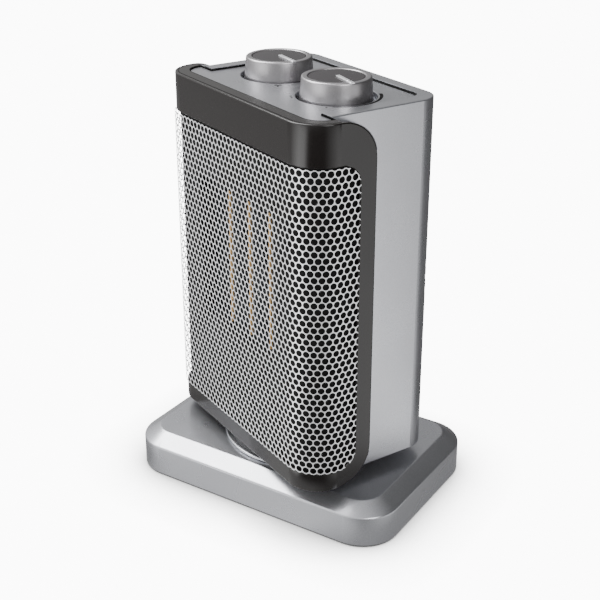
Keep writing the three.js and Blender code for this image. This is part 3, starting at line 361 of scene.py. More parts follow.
def finishPiece(bm, name, body, place, slotName, replaced=(), sharpAngle=35, finish=None):
    # finish is given where the look isn't the slot's own
    bm.transform(place)
    mesh = setAside(bm, name)
    mesh.polygons.foreach_set("use_smooth", [True] * len(mesh.polygons))
    mesh.set_sharp_from_angle(angle=math.radians(sharpAngle))
    axes = [place.col[index].to_3d().normalized() for index in range(3)]
    for polygon in mesh.polygons:  # so these faces keep an even tone up to their bevels
        square = max(abs(polygon.normal.dot(axis)) for axis in axes)
        if polygon.area > flatArea or square > squareTo:
            polygon.use_smooth = False
    mesh.materials.append(finishes[finish or slotName])
    piece = bpy.data.objects.new(name, mesh)
    bpy.context.scene.collection.objects.link(piece)
    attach(piece, body)
    if replaced:
        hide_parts(*replaced)
    print("piece:", name, len(mesh.polygons), "faces")


# Sizes of the bezel, which come first because the grille and the outlet follow its window

bezel = {
    "flat": 61.9,
    "radius": 21,
    "side": 24.9,
    "height": 230,
    "wall": 2.4,
    "lobeRadius": 24,
    "lobeSteps": 14,
    "windowSide": 13.3,  # from the bend's end to the window's rear edge
    "windowBottom": 12.6,
    "windowTop": 205.4,
    "windowRadius": 12,
    "edge": 0.7,
    "bendCuts": 20,
    "seam": 22.7,  # where the bezel's plates end and the housing's begin
}


# Perforated sheet, punched flat and then bent round the bezel's corners

grille = {
    "pitch": 4.5,
    "hole": 2.04,
    "holeSides": 12,  # twice the hexagon's, which is split to match
    "thickness": 0.15,
    "stand": 1.16,  # proud of the bezel's face
    "fit": 0.3,  # clear of the window's edge all round
    "cornerCuts": 6,
}


def makeGrille():
    g, b = grille, bezel
    bm = bmesh.new()
    cell = g["pitch"] / math.sqrt(3)
    bmesh.ops.create_circle(bm, segments=g["holeSides"], radius=g["hole"])
    hexagon = bmesh.ops.create_circle(bm, segments=6, radius=cell)["verts"]
    border = list({edge for vert in hexagon for edge in vert.link_edges})
    bmesh.ops.subdivide_edges(bm, edges=border, cuts=1)
    bmesh.ops.bridge_loops(bm, edges=bm.edges[:])
    upright = Matrix.Rotation(math.pi / 2, 4, "X")
    bmesh.ops.transform(bm, matrix=upright, verts=bm.verts[:])
    radius = b["radius"] + g["stand"]
    halfLength = b["flat"] + radius * math.pi / 2 + b["windowSide"] - g["fit"]
    low, high = b["windowBottom"] + g["fit"], b["windowTop"] - g["fit"]
    middle = (low + high) / 2
    rowPitch = g["pitch"] * math.sin(math.pi / 3)
    columns = math.ceil(halfLength / g["pitch"])
    rows = math.ceil((high - low) / 2 / rowPitch)
    bmesh.ops.translate(bm, verts=bm.verts[:], vec=(-columns * g["pitch"], 0, middle))
    first = allOf(bm)
    for column in range(1, 2 * columns + 1):
        copy = bmesh.ops.duplicate(bm, geom=first)["geom"]
        bmesh.ops.translate(bm, verts=vertsOf(copy), vec=(column * g["pitch"], 0, 0))
    bmesh.ops.remove_doubles(bm, verts=bm.verts[:], dist=near)
    first = allOf(bm)
    for row in range(1, rows + 1):
        shift = g["pitch"] / 2 if row % 2 else 0
        for side in (-1, 1):
            copy = bmesh.ops.duplicate(bm, geom=first)["geom"]
            bmesh.ops.translate(bm, verts=vertsOf(copy), vec=(shift, 0, side * row * rowPitch))
    bmesh.ops.remove_doubles(bm, verts=bm.verts[:], dist=near)
    for point, normal in (
        ((halfLength, 0, 0), (1, 0, 0)),
        ((-halfLength, 0, 0), (-1, 0, 0)),
        ((0, 0, high), (0, 0, 1)),
        ((0, 0, low), (0, 0, -1)),
    ):
        bisectAt(bm, point, normal, clear=True)
    corner = b["windowRadius"] - g["fit"]
    for cut in range(g["cornerCuts"]):
        angle = (cut + 0.5) / g["cornerCuts"] * math.pi / 2
        for sideX in (-1, 1):
            for sideZ, edge in ((-1, low), (1, high)):
                normal = Vector((sideX * math.cos(angle), 0, sideZ * math.sin(angle)))
                centre = Vector((sideX * (halfLength - corner), 0, edge - sideZ * corner))
                bisectAt(bm, centre + normal * corner, normal, clear=True)
    thicken(bm, (0, g["thickness"], 0))
    bendRound(bm, b["flat"], radius)
    bmesh.ops.translate(bm, verts=bm.verts[:], vec=(0, -g["stand"], 0))
    finishPiece(bm, "perforatedSheet", "heater_body", inBody, "grille_metal", ["front_grille"],
                sharpAngle=50)


makeGrille()


# Air outlet: a black sheet behind the punched one, with a mouth back to the element; its
# near-black finish is painted shade, the dark seen through the holes

outlet = {
    "depth": 3.2,
    "wall": 0.6,
    "halfWidth": 44.4,
    "bottom": 72.3,
    "top": 169.7,
    "mouth": 9.6,
    "past": 4,  # past the window's edges
    "corner": 4,
    "mouthCorner": 1,
    "bendCuts": 10,
}


def makeOutlet():
    o, b = outlet, bezel
    bm = bmesh.new()
    half = b["flat"] + b["radius"] * math.pi / 2 + b["windowSide"] + o["past"]
    low, high = b["windowBottom"] - o["past"], b["windowTop"] + o["past"]
    roundedSheet(bm, -half, half, low, high, o["corner"], 2)
    roundedSheet(bm, -o["halfWidth"], o["halfWidth"], o["bottom"], o["top"], o["mouthCorner"], 2)
    outlinesOnly(bm)
    side, low, high = o["halfWidth"] + near, o["bottom"] - near, o["top"] + near
    mouth = [
        edge for edge in bm.edges
        if all(abs(v.co.x) < side and low < v.co.z < high for v in edge.verts)
    ]
    bmesh.ops.bridge_loops(bm, edges=bm.edges[:])
    back = bmesh.ops.extrude_edge_only(bm, edges=mouth)["geom"]
    bmesh.ops.translate(bm, verts=vertsOf(back), vec=(0, o["mouth"] - o["depth"], 0))
    bmesh.ops.translate(bm, verts=bm.verts[:], vec=(0, o["depth"], 0))
    cutBend(bm, b["flat"], b["radius"], o["bendCuts"])
    bmesh.ops.recalc_face_normals(bm, faces=bm.faces[:])
    bmesh.ops.solidify(bm, geom=bm.faces[:], thickness=o["wall"])
    bendRound(bm, b["flat"], b["radius"])
    bmesh.ops.recalc_face_normals(bm, faces=bm.faces[:])
    # the near-black finish here is painted shade for the dark behind the grille's holes
    finishPiece(bm, "outletShadeSheet", "heater_body", inBody, "black_plastic", finish="shade_and_print_black")


makeOutlet()


# Element: thin ceramic strips between aluminium plates, with pleated fins between

element = {
    "places": (-23.5, 0, 23.5),
    "width": 5,
    "strip": 1.6,
    "proud": 0.4,  # the strips before the fins
    "recess": 1,  # the plates behind them
    "front": 12,
    "depth": 10,
    "bottom": 72.5,
    "top": 169.5,
    "halfWidth": 44.3,
    "stripEdge": 0.25,
    "plateEdge": 0.3,
    "pleats": 44,
    "pleatGap": 0.1,
    "pleatInset": 0.6,
    "foil": 0.15,
}


def addBlock(bm, low, high):
    verts = bmesh.ops.create_cube(bm, size=1)["verts"]
    bmesh.ops.scale(bm, vec=[b - a for a, b in zip(low, high)], verts=verts)
    bmesh.ops.translate(bm, vec=[(a + b) / 2 for a, b in zip(low, high)], verts=verts)


def makeElement():
    e = element
    strips, plates, fins = bmesh.new(), bmesh.new(), bmesh.new()
    rear = e["front"] + e["depth"]
    for place in e["places"]:
        left, right = place - e["width"] / 2, place + e["width"] / 2
        inner = e["strip"] / 2
        front = e["front"] - e["proud"]
        addBlock(strips, (place - inner, front, e["bottom"]), (place + inner, rear, e["top"]))
        front = e["front"] + e["recess"]
        addBlock(plates, (left, front, e["bottom"]), (place - inner, rear, e["top"]))
        addBlock(plates, (place + inner, front, e["bottom"]), (right, rear, e["top"]))
    roundEdges(strips, sharpEdges(strips), e["stripEdge"], 2)
    roundEdges(plates, sharpEdges(plates), e["plateEdge"], 2)
    edges = [-e["halfWidth"]]
    for place in e["places"]:
        edges += [place - e["width"] / 2, place + e["width"] / 2]
    edges.append(e["halfWidth"])
    step = (e["top"] - e["bottom"]) / e["pleats"] / 2
    for left, right in zip(edges[::2], edges[1::2]):
        chain = []
        for index in range(2 * e["pleats"] + 1):
            along = right - e["pleatGap"] if index % 2 else left + e["pleatGap"]
            height = e["bottom"] + index * step
            chain.append(fins.verts.new((along, e["front"] + e["pleatInset"], height)))
        folds = [fins.edges.new(pair) for pair in zip(chain, chain[1:])]
        back = bmesh.ops.extrude_edge_only(fins, edges=folds)["geom"]
        run = e["depth"] - 2 * e["pleatInset"]
        bmesh.ops.translate(fins, verts=vertsOf(back), vec=(0, run, 0))
    bmesh.ops.recalc_face_normals(fins, faces=fins.faces[:])
    bmesh.ops.solidify(fins, geom=fins.faces[:], thickness=e["foil"])
    finishPiece(strips, "ceramicStrips", "heater_body", inBody, "ceramic",
                ["ceramic_bar_1", "ceramic_bar_2", "ceramic_bar_3"])
    finishPiece(plates, "stripPlates", "heater_body", inBody, "aluminium")
    finishPiece(fins, "pleatedFins", "heater_body", inBody, "aluminium",
                ["heating_fin_1", "heating_fin_2", "heating_fin_3", "heating_fin_4"],
                sharpAngle=30)


makeElement()


# Sizes of the control panel, which the bezel, the tray and the housing are cut for

panel = {
    "wide": 149.2,
    "neck": 122,
    "front": 10,
    "step": 22.7,
    "rear": 93,
    "frontRadius": 12,
    "rearRadius": 8,
    "cornerSteps": 10,
    "gap": 0.6,  # the seam round the panel
    "top": 229,
    "bottom": 225.6,
    "edge": 0.5,
    "knobX": 30.988,
    "knobY": 54,
    "wellRadius": 23.98,
    "wellDepth": 6,
    "wellWall": 1.4,
    "wellLap": 0.6,  # the well runs up into the plate
    "wellSteps": 72,
    "stemHole": 3.3,
}


def plateOutline(bm, grow, height):
    # the T-shaped plate seen from above
    p = panel
    wide, neck = p["wide"] / 2 + grow, p["neck"] / 2 + grow
    front, step, rear = p["front"] - grow, p["step"], p["rear"] + grow
    points = (
        (wide, front), (wide, step), (neck, step), (neck, rear),
        (-neck, rear), (-neck, step), (-wide, step), (-wide, front),
    )
    verts = [bm.verts.new((x, y, height)) for x, y in points]
    bm.faces.new(verts)
    for picked, radius in (((0, 7), p["frontRadius"]), ((3, 4), p["rearRadius"])):
        roundCorners(bm, [verts[i] for i in picked], radius + grow, p["cornerSteps"])


def endPlate(bm, low, high, half, seam, far, radius, steps, trim=0):
    # a top or bottom plate between the walls; with trim, 1 or -1, it is open for the panel,
    # and what the opening leaves on that side of the seam is cut off
    points = ((-half, seam), (-half, far), (half, far), (half, seam))
    verts = [bm.verts.new((x, y, high)) for x, y in points]
    bm.faces.new(verts)
    roundCorners(bm, verts[1:3], radius, steps)
    if trim:
        plateOutline(bm, panel["gap"], high)
        outlinesOnly(bm)
        bisectAt(bm, (0, seam, 0), (0, trim, 0), clear=True)
        ends = sorted((v for v in bm.verts if abs(v.co.y - seam) < near), key=lambda v: v.co.x)
        middle = bm.edges.get((ends[0], ends[-1]))
        if middle:
            bm.edges.remove(middle)
        for left, right in (ends[:2], ends[-2:]):
            if not bm.edges.get((left, right)):
                bm.edges.new((left, right))
        fillOutlines(bm)
    thicken(bm, (0, 0, low - high))


# Bezel: the wall is cut flat and bent as the grille is

def makeBezel():
    b = bezel
    bm = bmesh.new()
    bend = b["radius"] * math.pi / 2
    half = b["flat"] + bend + b["side"]
    window = b["flat"] + bend + b["windowSide"]
    low, high = b["windowBottom"], b["windowTop"]
    roundedSheet(bm, -half, half, 0, b["height"], b["lobeRadius"], b["lobeSteps"])
    roundedSheet(bm, -window, window, low, high, b["windowRadius"], b["lobeSteps"])
    outlinesOnly(bm)
    bmesh.ops.bridge_loops(bm, edges=bm.edges[:])
    thicken(bm, (0, b["wall"], 0))
    roundEdges(bm, sharpEdges(bm), b["edge"])
    cutBend(bm, b["flat"], b["radius"], b["bendCuts"])
    bendRound(bm, b["flat"], b["radius"])
    parts = [setAside(bm, "bezelWall")]
    inner = b["flat"] + b["radius"] - b["wall"]
    radius = b["radius"] - b["wall"]
    for low, high, trim in ((0, b["wall"], 0), (b["height"] - b["wall"], b["height"], 1)):
        bm = bmesh.new()
        endPlate(bm, low, high, inner, b["seam"], b["wall"], radius, b["bendCuts"], trim)
        parts.append(setAside(bm, "bezelPlate"))
    bm = joined(parts)
    finishPiece(bm, "bezelShell", "heater_body", inBody, "dark_plastic", ["front_bezel"])


makeBezel()


# Control panel: a plate with two wells

def knobHoles(bm, radius, steps, height):
    for side in (-1, 1):
        bmesh.ops.create_circle(
            bm, segments=steps, radius=radius,
            matrix=Matrix.Translation((side * panel["knobX"], panel["knobY"], height)),
        )


def makePanel():
    p = panel
    bm = bmesh.new()
    plateOutline(bm, 0, p["top"])
    outlinesOnly(bm)
    knobHoles(bm, p["wellRadius"], p["wellSteps"], p["top"])
    fillOutlines(bm)
    thicken(bm, (0, 0, p["bottom"] - p["top"]))
    upper = sharpEdges(bm, lambda e: min(v.co.z for v in e.verts) > p["top"] - near)
    roundEdges(bm, upper, p["edge"], 2)
    plate = setAside(bm, "plate")
    bm = bmesh.new()
    hole, inner, outer = p["stemHole"], p["wellRadius"], p["wellRadius"] + p["wellWall"]
    floor = p["top"] - p["wellDepth"]
    below = floor - p["wellWall"]
    chain = [
        (hole, floor), (inner, floor), (inner, p["bottom"] + p["wellLap"]),
        (outer, p["bottom"] - near), (outer, below), (hole, below), (hole, floor),
    ]
    turnProfile(bm, chain, p["wellSteps"])
    bmesh.ops.translate(bm, verts=bm.verts[:], vec=(p["knobX"], p["knobY"], 0))
    copy = bmesh.ops.duplicate(bm, geom=allOf(bm))["geom"]
    bmesh.ops.translate(bm, verts=vertsOf(copy), vec=(-2 * p["knobX"], 0, 0))
    bm = joined([setAside(bm, "wells"), plate])
    finishPiece(bm, "panelPlate", "heater_body", inBody, "silver_paint", ["control_panel"])


makePanel()


# Tray under the panel, with linings of the seams: near-black painted shade, so that the seams read
# as dark lines

tray = {
    "height": 224.9,
    "wall": 0.8,
    "wide": 79,
    "neck": 66,
    "front": 4,
    "step": 23.4,
    "rear": 94,
    "corner": (62, 21),
    "hole": 25.6,
    "steps": 48,
    "shadeLining": 0.35,  # a near-black lining of the seam round the panel: painted shade in the gap
    "shadeLiningFit": 0.02,
    "shadeLiningTop": 230.05,
    "stepShadeLining": ((60.9, 22.74, 215), (81.5, 23.16, 229.85)),  # and of the seam behind the bezel, also painted shade
}


def makeTray():
    t = tray
    bm = bmesh.new()
    cornerX, cornerY = t["corner"]
    half = (
        (t["neck"], t["rear"]), (t["neck"], t["step"]), (t["wide"], t["step"]),
        (t["wide"], cornerY), (cornerX, t["front"]),
    )
    points = [(-x, y) for x, y in half] + list(reversed(half))
    bm.faces.new([bm.verts.new((x, y, t["height"])) for x, y in points])
    outlinesOnly(bm)
    knobHoles(bm, t["hole"], t["steps"], t["height"])
    fillOutlines(bm)
    thicken(bm, (0, 0, -t["wall"]))
    flat = setAside(bm, "flatTray")
    bm = bmesh.new()
    plateOutline(bm, panel["gap"] - t["shadeLiningFit"], t["shadeLiningTop"])
    plateOutline(bm, panel["gap"] - t["shadeLining"], t["shadeLiningTop"])
    outlinesOnly(bm)
    bmesh.ops.bridge_loops(bm, edges=bm.edges[:])
    thicken(bm, (0, 0, t["height"] - t["shadeLiningTop"]))
    low, high = t["stepShadeLining"]
    addBlock(bm, low, high)
    addBlock(bm, (-high[0], low[1], low[2]), (-low[0], high[1], high[2]))
    bm = joined([setAside(bm, "shadeLinings"), flat])
    # the near-black finish on the tray and the linings is painted shade in the seams
    finishPiece(bm, "panelShadeTray", "heater_body", inBody, "black_plastic", finish="shade_and_print_black")


makeTray()


# Marks printed round the dials

marks = {
    "height": 0.06,
    "wedge": {"from": -40, "to": 66, "inner": 25.3, "thin": 0.6, "thick": 2.1, "steps": 34},
    "dots": ((-47, 27.2), (-120, 26.6), (-112, 26.6)),  # angle and reach of each
    "dotRadius": 0.65,
    "fan": {"angle": -34, "reach": 28.6, "hub": 0.6, "blades": 3},
    "blade": {"radius": 1.15, "out": 1.61, "narrow": 0.55},
}


def makeMarks():
    m = marks
    bm = bmesh.new()
    wedge, fan, blade = m["wedge"], m["fan"], m["blade"]
    ends = [bm.verts.new((wedge["inner"] + grow, 0, 0)) for grow in (0, 1)]
    edge = bm.edges.new(ends)
    turn = Matrix.Rotation(math.radians(wedge["from"]), 3, "Z")
    bmesh.ops.rotate(bm, verts=ends, matrix=turn)
    sweep = wedge["to"] - wedge["from"]
    bmesh.ops.spin(
        bm, geom=ends + [edge], cent=(0, 0, 0), axis=(0, 0, 1), angle=math.radians(sweep),
        steps=wedge["steps"],
    )
    for vert in bm.verts:
        reach = Vector(vert.co[:2]).length
        if reach > wedge["inner"] + 0.5:  # the outer edge widens along the sweep
            angle = math.degrees(math.atan2(vert.co.y, vert.co.x))
            share = (angle - wedge["from"]) / sweep
            width = wedge["thin"] + (wedge["thick"] - wedge["thin"]) * share
            vert.co *= (wedge["inner"] + width) / reach
    for angle, reach in m["dots"]:
        place = Matrix.Rotation(math.radians(angle), 4, "Z") @ Matrix.Translation((reach, 0, 0))
        bmesh.ops.create_circle(
            bm, cap_ends=True, segments=16, radius=m["dotRadius"], matrix=place
        )
    bm.transform(Matrix.Translation((panel["knobX"], panel["knobY"], panel["top"])))
    place = (
        Matrix.Translation((-panel["knobX"], panel["knobY"], panel["top"]))
        @ Matrix.Rotation(math.radians(fan["angle"]), 4, "Z")
        @ Matrix.Translation((fan["reach"], 0, 0))
    )
    bmesh.ops.create_circle(bm, cap_ends=True, segments=12, radius=fan["hub"], matrix=place)
    out = Matrix.Translation((blade["out"], 0, 0)) @ Matrix.Diagonal((1, blade["narrow"], 1, 1))
    for index in range(fan["blades"]):
        turn = Matrix.Rotation(2 * math.pi * index / fan["blades"], 4, "Z")
        bmesh.ops.create_circle(
            bm, cap_ends=True, segments=12, radius=blade["radius"], matrix=place @ turn @ out
        )
    thicken(bm, (0, 0, m["height"]))
    finishPiece(bm, "dialMarks", "heater_body", inBody, "black_plastic", finish="shade_and_print_black")


makeMarks()


# Knobs: a turned cap, a dark disc in it and a bright bar as the pointer

knob = {
    "foot": 21.785,
    "top": 20.585,
    "rise": 12,
    "sink": 4,
    "seat": 1.5,  # how deep the cap is hollowed for the disc
    "inlay": 16.785,
    "inlayDrop": 0.3,
    "inlayFit": 0.25,
    "taper": 0.1,
    "dome": 0.15,
    "edge": 1.1,
    "fineEdge": 0.35,
    "steps": 96,
    "pointerStart": 1.5,
    "pointerPast": 0.4,
    "pointerWidth": 2.4,
    "pointerHeight": 0.9,
    "pointerGap": 0.6,  # between the bar on the disc and the bar on the rim
    "pointerRound": 0.8,
    "turns": {"mode": -6, "thermostat": -9.5},  # degrees that the pointers stand at
}


def makeKnob(which, side):
    k = knob
    place = inBody @ Matrix.Translation((side * panel["knobX"], panel["knobY"], panel["top"]))
    place = place @ Matrix.Rotation(math.radians(k["turns"][which]), 4, "Z")
    body = which + "_control"
    rise, seat, taper, fine = k["rise"], k["rise"] - k["seat"], k["taper"], k["fineEdge"]
    bm = bmesh.new()
    chain = [
        (0, -k["sink"]), (k["foot"], -k["sink"]), (k["top"], rise), (k["inlay"] + taper, rise),
        (k["inlay"] - taper, seat), (0, seat),
    ]
    turnProfile(bm, bevelled(chain, k["edge"], 5), k["steps"])
    finishPiece(bm, which + "KnobCap", body, place, "knob_silver", [which + "_knob"],
                sharpAngle=50)
    bm = bmesh.new()
    top = rise - k["inlayDrop"]
    edge = k["inlay"] - k["inlayFit"]
    chain = [(0, seat), (edge, seat), (edge, top), (0, top + k["dome"])]
    turnProfile(bm, bevelled(chain, fine, 3), k["steps"])
    finishPiece(bm, which + "KnobDisc", body, place, "inlay_gloss", [which + "_inlay"],
                sharpAngle=50)
    bm = bmesh.new()
    half = k["pointerWidth"] / 2
    gap = k["pointerGap"] / 2
    rim = k["inlay"] - taper
    for start, end in ((k["pointerStart"], rim - gap), (rim + gap, k["top"] + k["pointerPast"])):
        corners = ((start, -half), (end, -half), (end, half), (start, half))
        verts = [bm.verts.new((x, y, top)) for x, y in corners]
        bm.faces.new(verts)
        if start < rim:  # the bar on the disc has a round end
            roundCorners(bm, verts[1:3], half * k["pointerRound"], 6)
    thicken(bm, (0, 0, k["pointerHeight"]))
    upper = sharpEdges(bm, lambda e: min(v.co.z for v in e.verts) > top + k["pointerHeight"] / 2)
    roundEdges(bm, upper, fine)
    finishPiece(bm, which + "KnobBar", body, place, "pointer_metal", [which + "_pointer"])


makeKnob("mode", -1)
makeKnob("thermostat", 1)


# Rear housing: one wall bent round the rear corners, with slots, screw holes and two end plates

housing = {
    "flat": 56,
    "radius": 15,
    "side": 63.8,
    "rear": 102,
    "wall": 2.2,
    "rim": 230.5,
    "front": 23.2,
    "edge": 0.8,
    "bendCuts": 20,
    "slotField": 67.5,
    "slotPitch": 8.7,
    "slotHeight": 4.5,
    "slots": 15,
    "fan": 116,  # height of the fan's axis, the middle of the slots
    "screwX": 56,
    "screwHeights": (46, 192),
    "screwBand": 20,  # half the height of wall that is searched for a screw's place
    "screwHole": 3.7,
    "screwPad": 1.5,  # half side of the square round the hole, as a share of its radius
}


def alongHousing(x):
    # distance along the developed wall of a place that far from the middle
    h = housing
    if x <= h["flat"]:
        return x
    return h["flat"] + h["radius"] * math.asin(min(1, (x - h["flat"]) / h["radius"]))


def facesWithin(bm, left, right, low, high):
    middles = ((face, face.calc_center_median()) for face in bm.faces)
    return [face for face, at in middles if left < at.x < right and low < at.z < high]


def bisectFaces(bm, faces, point, normal):
    parts = set(faces)
    for face in faces:
        parts.update(face.verts)
        parts.update(face.edges)
    bmesh.ops.bisect_plane(bm, geom=list(parts), dist=weld, plane_co=point, plane_no=normal)


def cutSlots(bm, half):
    # each slot ends where a circle round the fan's axis crosses it
    h = housing
    slots = []
    for i in range(h["slots"]):
        offset = (i - (h["slots"] - 1) / 2) * h["slotPitch"]
        reach = alongHousing(math.sqrt(h["slotField"] ** 2 - offset**2))
        middle = h["fan"] + offset
        slots.append((reach, middle - h["slotHeight"] / 2, middle + h["slotHeight"] / 2))
    for reach, low, high in slots:
        bisectAt(bm, (0, 0, low), (0, 0, 1))
        bisectAt(bm, (0, 0, high), (0, 0, 1))
    for reach, low, high in slots:
        for side in (-1, 1):
            band = facesWithin(bm, -half, half, low, high)
            bisectFaces(bm, band, (side * reach, 0, 0), (1, 0, 0))
        bmesh.ops.delete(bm, geom=facesWithin(bm, -reach, reach, low, high), context="FACES")


def cutScrewHoles(bm, half):
    # a square is cut out of the wall, and a round hole bridged into it
    h = housing
    pad = h["screwHole"] * h["screwPad"]
    for height in h["screwHeights"]:
        for edge in (height - pad, height + pad):
            band = facesWithin(bm, -half, half, height - h["screwBand"], height + h["screwBand"])
            bisectFaces(bm, band, (0, 0, edge), (0, 0, 1))
        for x in (-h["screwX"], h["screwX"]):
            for edge in (x - pad, x + pad):
                band = facesWithin(bm, -half, half, height - pad, height + pad)
                bisectFaces(bm, band, (edge, 0, 0), (1, 0, 0))
            patch = facesWithin(bm, x - pad, x + pad, height - pad, height + pad)
            border = list({edge for face in patch for edge in face.edges})
            bmesh.ops.delete(bm, geom=patch, context="FACES_ONLY")
            bmesh.ops.subdivide_edges(bm, edges=border, cuts=3)  # 16 edges, as the circle has
            place = Matrix.Translation((x, 0, height)) @ Matrix.Rotation(math.pi / 2, 4, "X")
            bmesh.ops.create_circle(bm, segments=16, radius=h["screwHole"], matrix=place)
            centre = Vector((x, 0, height))
            loose = [edge for edge in bm.edges if len(edge.link_faces) < 2]
            rings = [
                edge for edge in loose
                if all(max(map(abs, v.co - centre)) < pad + near for v in edge.verts)
            ]
            bmesh.ops.bridge_loops(bm, edges=rings)


def makeHousing():
    h = housing
    bm = bmesh.new()
    half = h["flat"] + h["radius"] * math.pi / 2 + h["side"]
    corners = ((-half, 0, 0), (half, 0, 0), (half, 0, h["rim"]), (-half, 0, h["rim"]))
    bm.faces.new([bm.verts.new(corner) for corner in corners])
    cutSlots(bm, half)
    cutScrewHoles(bm, half)
    thicken(bm, (0, h["wall"], 0))

    def onRim(edge):
        heights = [vert.co.z for vert in edge.verts]
        outside = all(vert.co.y < near for vert in edge.verts)
        return outside and (max(heights) < near or min(heights) > h["rim"] - near)

    roundEdges(bm, sharpEdges(bm, onRim), h["edge"])
    cutBend(bm, h["flat"], h["radius"], h["bendCuts"])
    bendRound(bm, h["flat"], h["radius"])
    bmesh.ops.scale(bm, vec=(1, -1, 1), verts=bm.verts[:])
    bmesh.ops.translate(bm, vec=(0, h["rear"], 0), verts=bm.verts[:])
    bmesh.ops.reverse_faces(bm, faces=bm.faces[:])
    parts = [setAside(bm, "housingWall")]
    inner = h["flat"] + h["radius"] - h["wall"]
    far = h["rear"] - h["wall"]
    radius = h["radius"] - h["wall"]
    for low, high, trim in ((0, h["wall"], 0), (h["rim"] - h["wall"], h["rim"], -1)):
        bm = bmesh.new()
        endPlate(bm, low, high, inner, h["front"], far, radius, h["bendCuts"], trim)
        parts.append(setAside(bm, "housingPlate"))
    bm = joined(parts)
    finishPiece(bm, "housingShell", "heater_body", inBody, "silver_paint", ["rear_housing"])


makeHousing()


# The housing's flared edge, a silver lip behind the bezel's lobe on each side

flare = {
    "outer": 82.6,
    "inner": 70.6,
    "run": 8.9,
    "wall": 1.2,
    "lobe": 46.2,
    "radius": 24,
    "steps": 20,
    "front": 23.2,
    "start": 10,  # the outline is cut off before this, well inside the bezel
    "drop": 0.6,  # below the housing's rim
    "fall": 4.2,  # how far the inner edge lies below the outer one
    "edge": 0.5,
    "lip": 0.6,  # the part of the outer edge that is rounded
}


def makeFlare(side):
    f = flare
    bm = bmesh.new()
    high = housing["rim"] - f["drop"]
    for inset in (0, f["wall"]):
        half = f["lobe"] - inset
        roundedSheet(bm, -half, half, inset, high - inset, f["radius"] - inset, f["steps"])
    outlinesOnly(bm)
    bmesh.ops.bridge_loops(bm, edges=bm.edges[:])
    bmesh.ops.rotate(bm, verts=bm.verts[:], matrix=Matrix.Rotation(math.pi / 2, 3, "Z"))
    bisectAt(bm, (0, f["start"], 0), (0, -1, 0), clear=True)
    bmesh.ops.translate(bm, verts=bm.verts[:], vec=(f["outer"], 0, 0))
    thicken(bm, (f["inner"] - f["outer"], f["run"], 0))
    rear = [vert for vert in bm.verts if vert.co.x < f["inner"] + near]
    middle = Matrix.Translation((0, 0, -high / 2))
    bmesh.ops.scale(bm, vec=(1, 1, 1 - 2 * f["fall"] / high), verts=rear, space=middle)
    bisectAt(bm, (0, f["front"], 0), (0, -1, 0), clear=True)
    bmesh.ops.holes_fill(bm, edges=[edge for edge in bm.edges if edge.is_boundary], sides=0)
    bmesh.ops.recalc_face_normals(bm, faces=bm.faces[:])
    rim = sharpEdges(bm, lambda e: min(v.co.x for v in e.verts) > f["outer"] - f["lip"])
    roundEdges(bm, rim, f["edge"], 2)
    if side < 0:
        bmesh.ops.scale(bm, vec=(-1, 1, 1), verts=bm.verts[:])
        bmesh.ops.reverse_faces(bm, faces=bm.faces[:])
    name = "flareRight" if side > 0 else "flareLeft"
    finishPiece(bm, name, "heater_body", inBody, "silver_paint")


makeFlare(-1)
makeFlare(1)


# Base: a tray turned over, its slope drawn in from the wall

base = {
    "width": 192,
    "depth": 130,
    "corner": 25,
    "cornerSteps": 14,
    "bottom": 1.5,
    "shoulder": 21,
    "top": 27.3,
    "slope": 10.7,
    "wall": 2.4,
    "shoulderEdge": 0.9,
    "topEdge": 0.6,
    "leastTurn": 0.2,  # radians: between faces that turn less there is no edge to round
    "disc": 50.5,
    "discHole": 8.3,
    "discLift": 0.3,  # clear of the base's top
    "discTop": 29.3,
    "discEdge": 1.2,
    "discSteps": 96,
}


def makeBaseCover():
    b = base
    bm = bmesh.new()
    verts = bmesh.ops.create_grid(bm, x_segments=1, y_segments=1, size=0.5)["verts"]
    bmesh.ops.scale(bm, vec=(b["width"], b["depth"], 1), verts=verts)
    bmesh.ops.translate(bm, vec=(0, 0, b["bottom"]), verts=verts)
    roundCorners(bm, bm.verts[:], b["corner"], b["cornerSteps"])
    thicken(bm, (0, 0, b["shoulder"] - b["bottom"]))
    top = [face for face in bm.faces if face.calc_center_median().z > b["shoulder"] - near]
    bmesh.ops.inset_region(bm, faces=top, thickness=b["slope"], use_even_offset=True)
    raised = list({vert for face in top for vert in face.verts})
    bmesh.ops.translate(bm, vec=(0, 0, b["top"] - b["shoulder"]), verts=raised)
    bottom = [face for face in bm.faces if face.calc_center_median().z < b["bottom"] + near]
    bmesh.ops.inset_region(bm, faces=bottom, thickness=b["wall"], use_even_offset=True)
    hollow = bmesh.ops.extrude_face_region(bm, geom=bottom)["geom"]
    bmesh.ops.delete(bm, geom=[f for f in bottom if f.is_valid], context="FACES_ONLY")
    rise = b["shoulder"] - b["wall"] - b["bottom"]
    bmesh.ops.translate(bm, vec=(0, 0, rise), verts=vertsOf(hollow))
    bmesh.ops.recalc_face_normals(bm, faces=bm.faces[:])
    for height, radius in ((b["top"], b["topEdge"]), (b["shoulder"], b["shoulderEdge"])):
        level = [edge for edge in bm.edges if all(abs(v.co.z - height) < near for v in edge.verts)]
        turned = [edge for edge in level if edge.calc_face_angle(0) > b["leastTurn"]]
        roundEdges(bm, turned, radius, 4)
    finishPiece(bm, "baseShell", "base", inFrame, "silver_paint", ["base_cover"],
                sharpAngle=60)


def makeDisc():
    b = base
    bm = bmesh.new()
    hole, rim, low, high = b["discHole"], b["disc"], b["top"] + b["discLift"], b["discTop"]
    chain = [(hole, low), (rim, low), (rim, high), (hole, high), (hole, low)]
    turnProfile(bm, bevelled(chain, b["discEdge"], 3), b["discSteps"])
    finishPiece(bm, "discShell", "base", inFrame, "silver_paint", ["turntable_disc"],
                sharpAngle=50)


makeBaseCover()
makeDisc()


# Stage and light

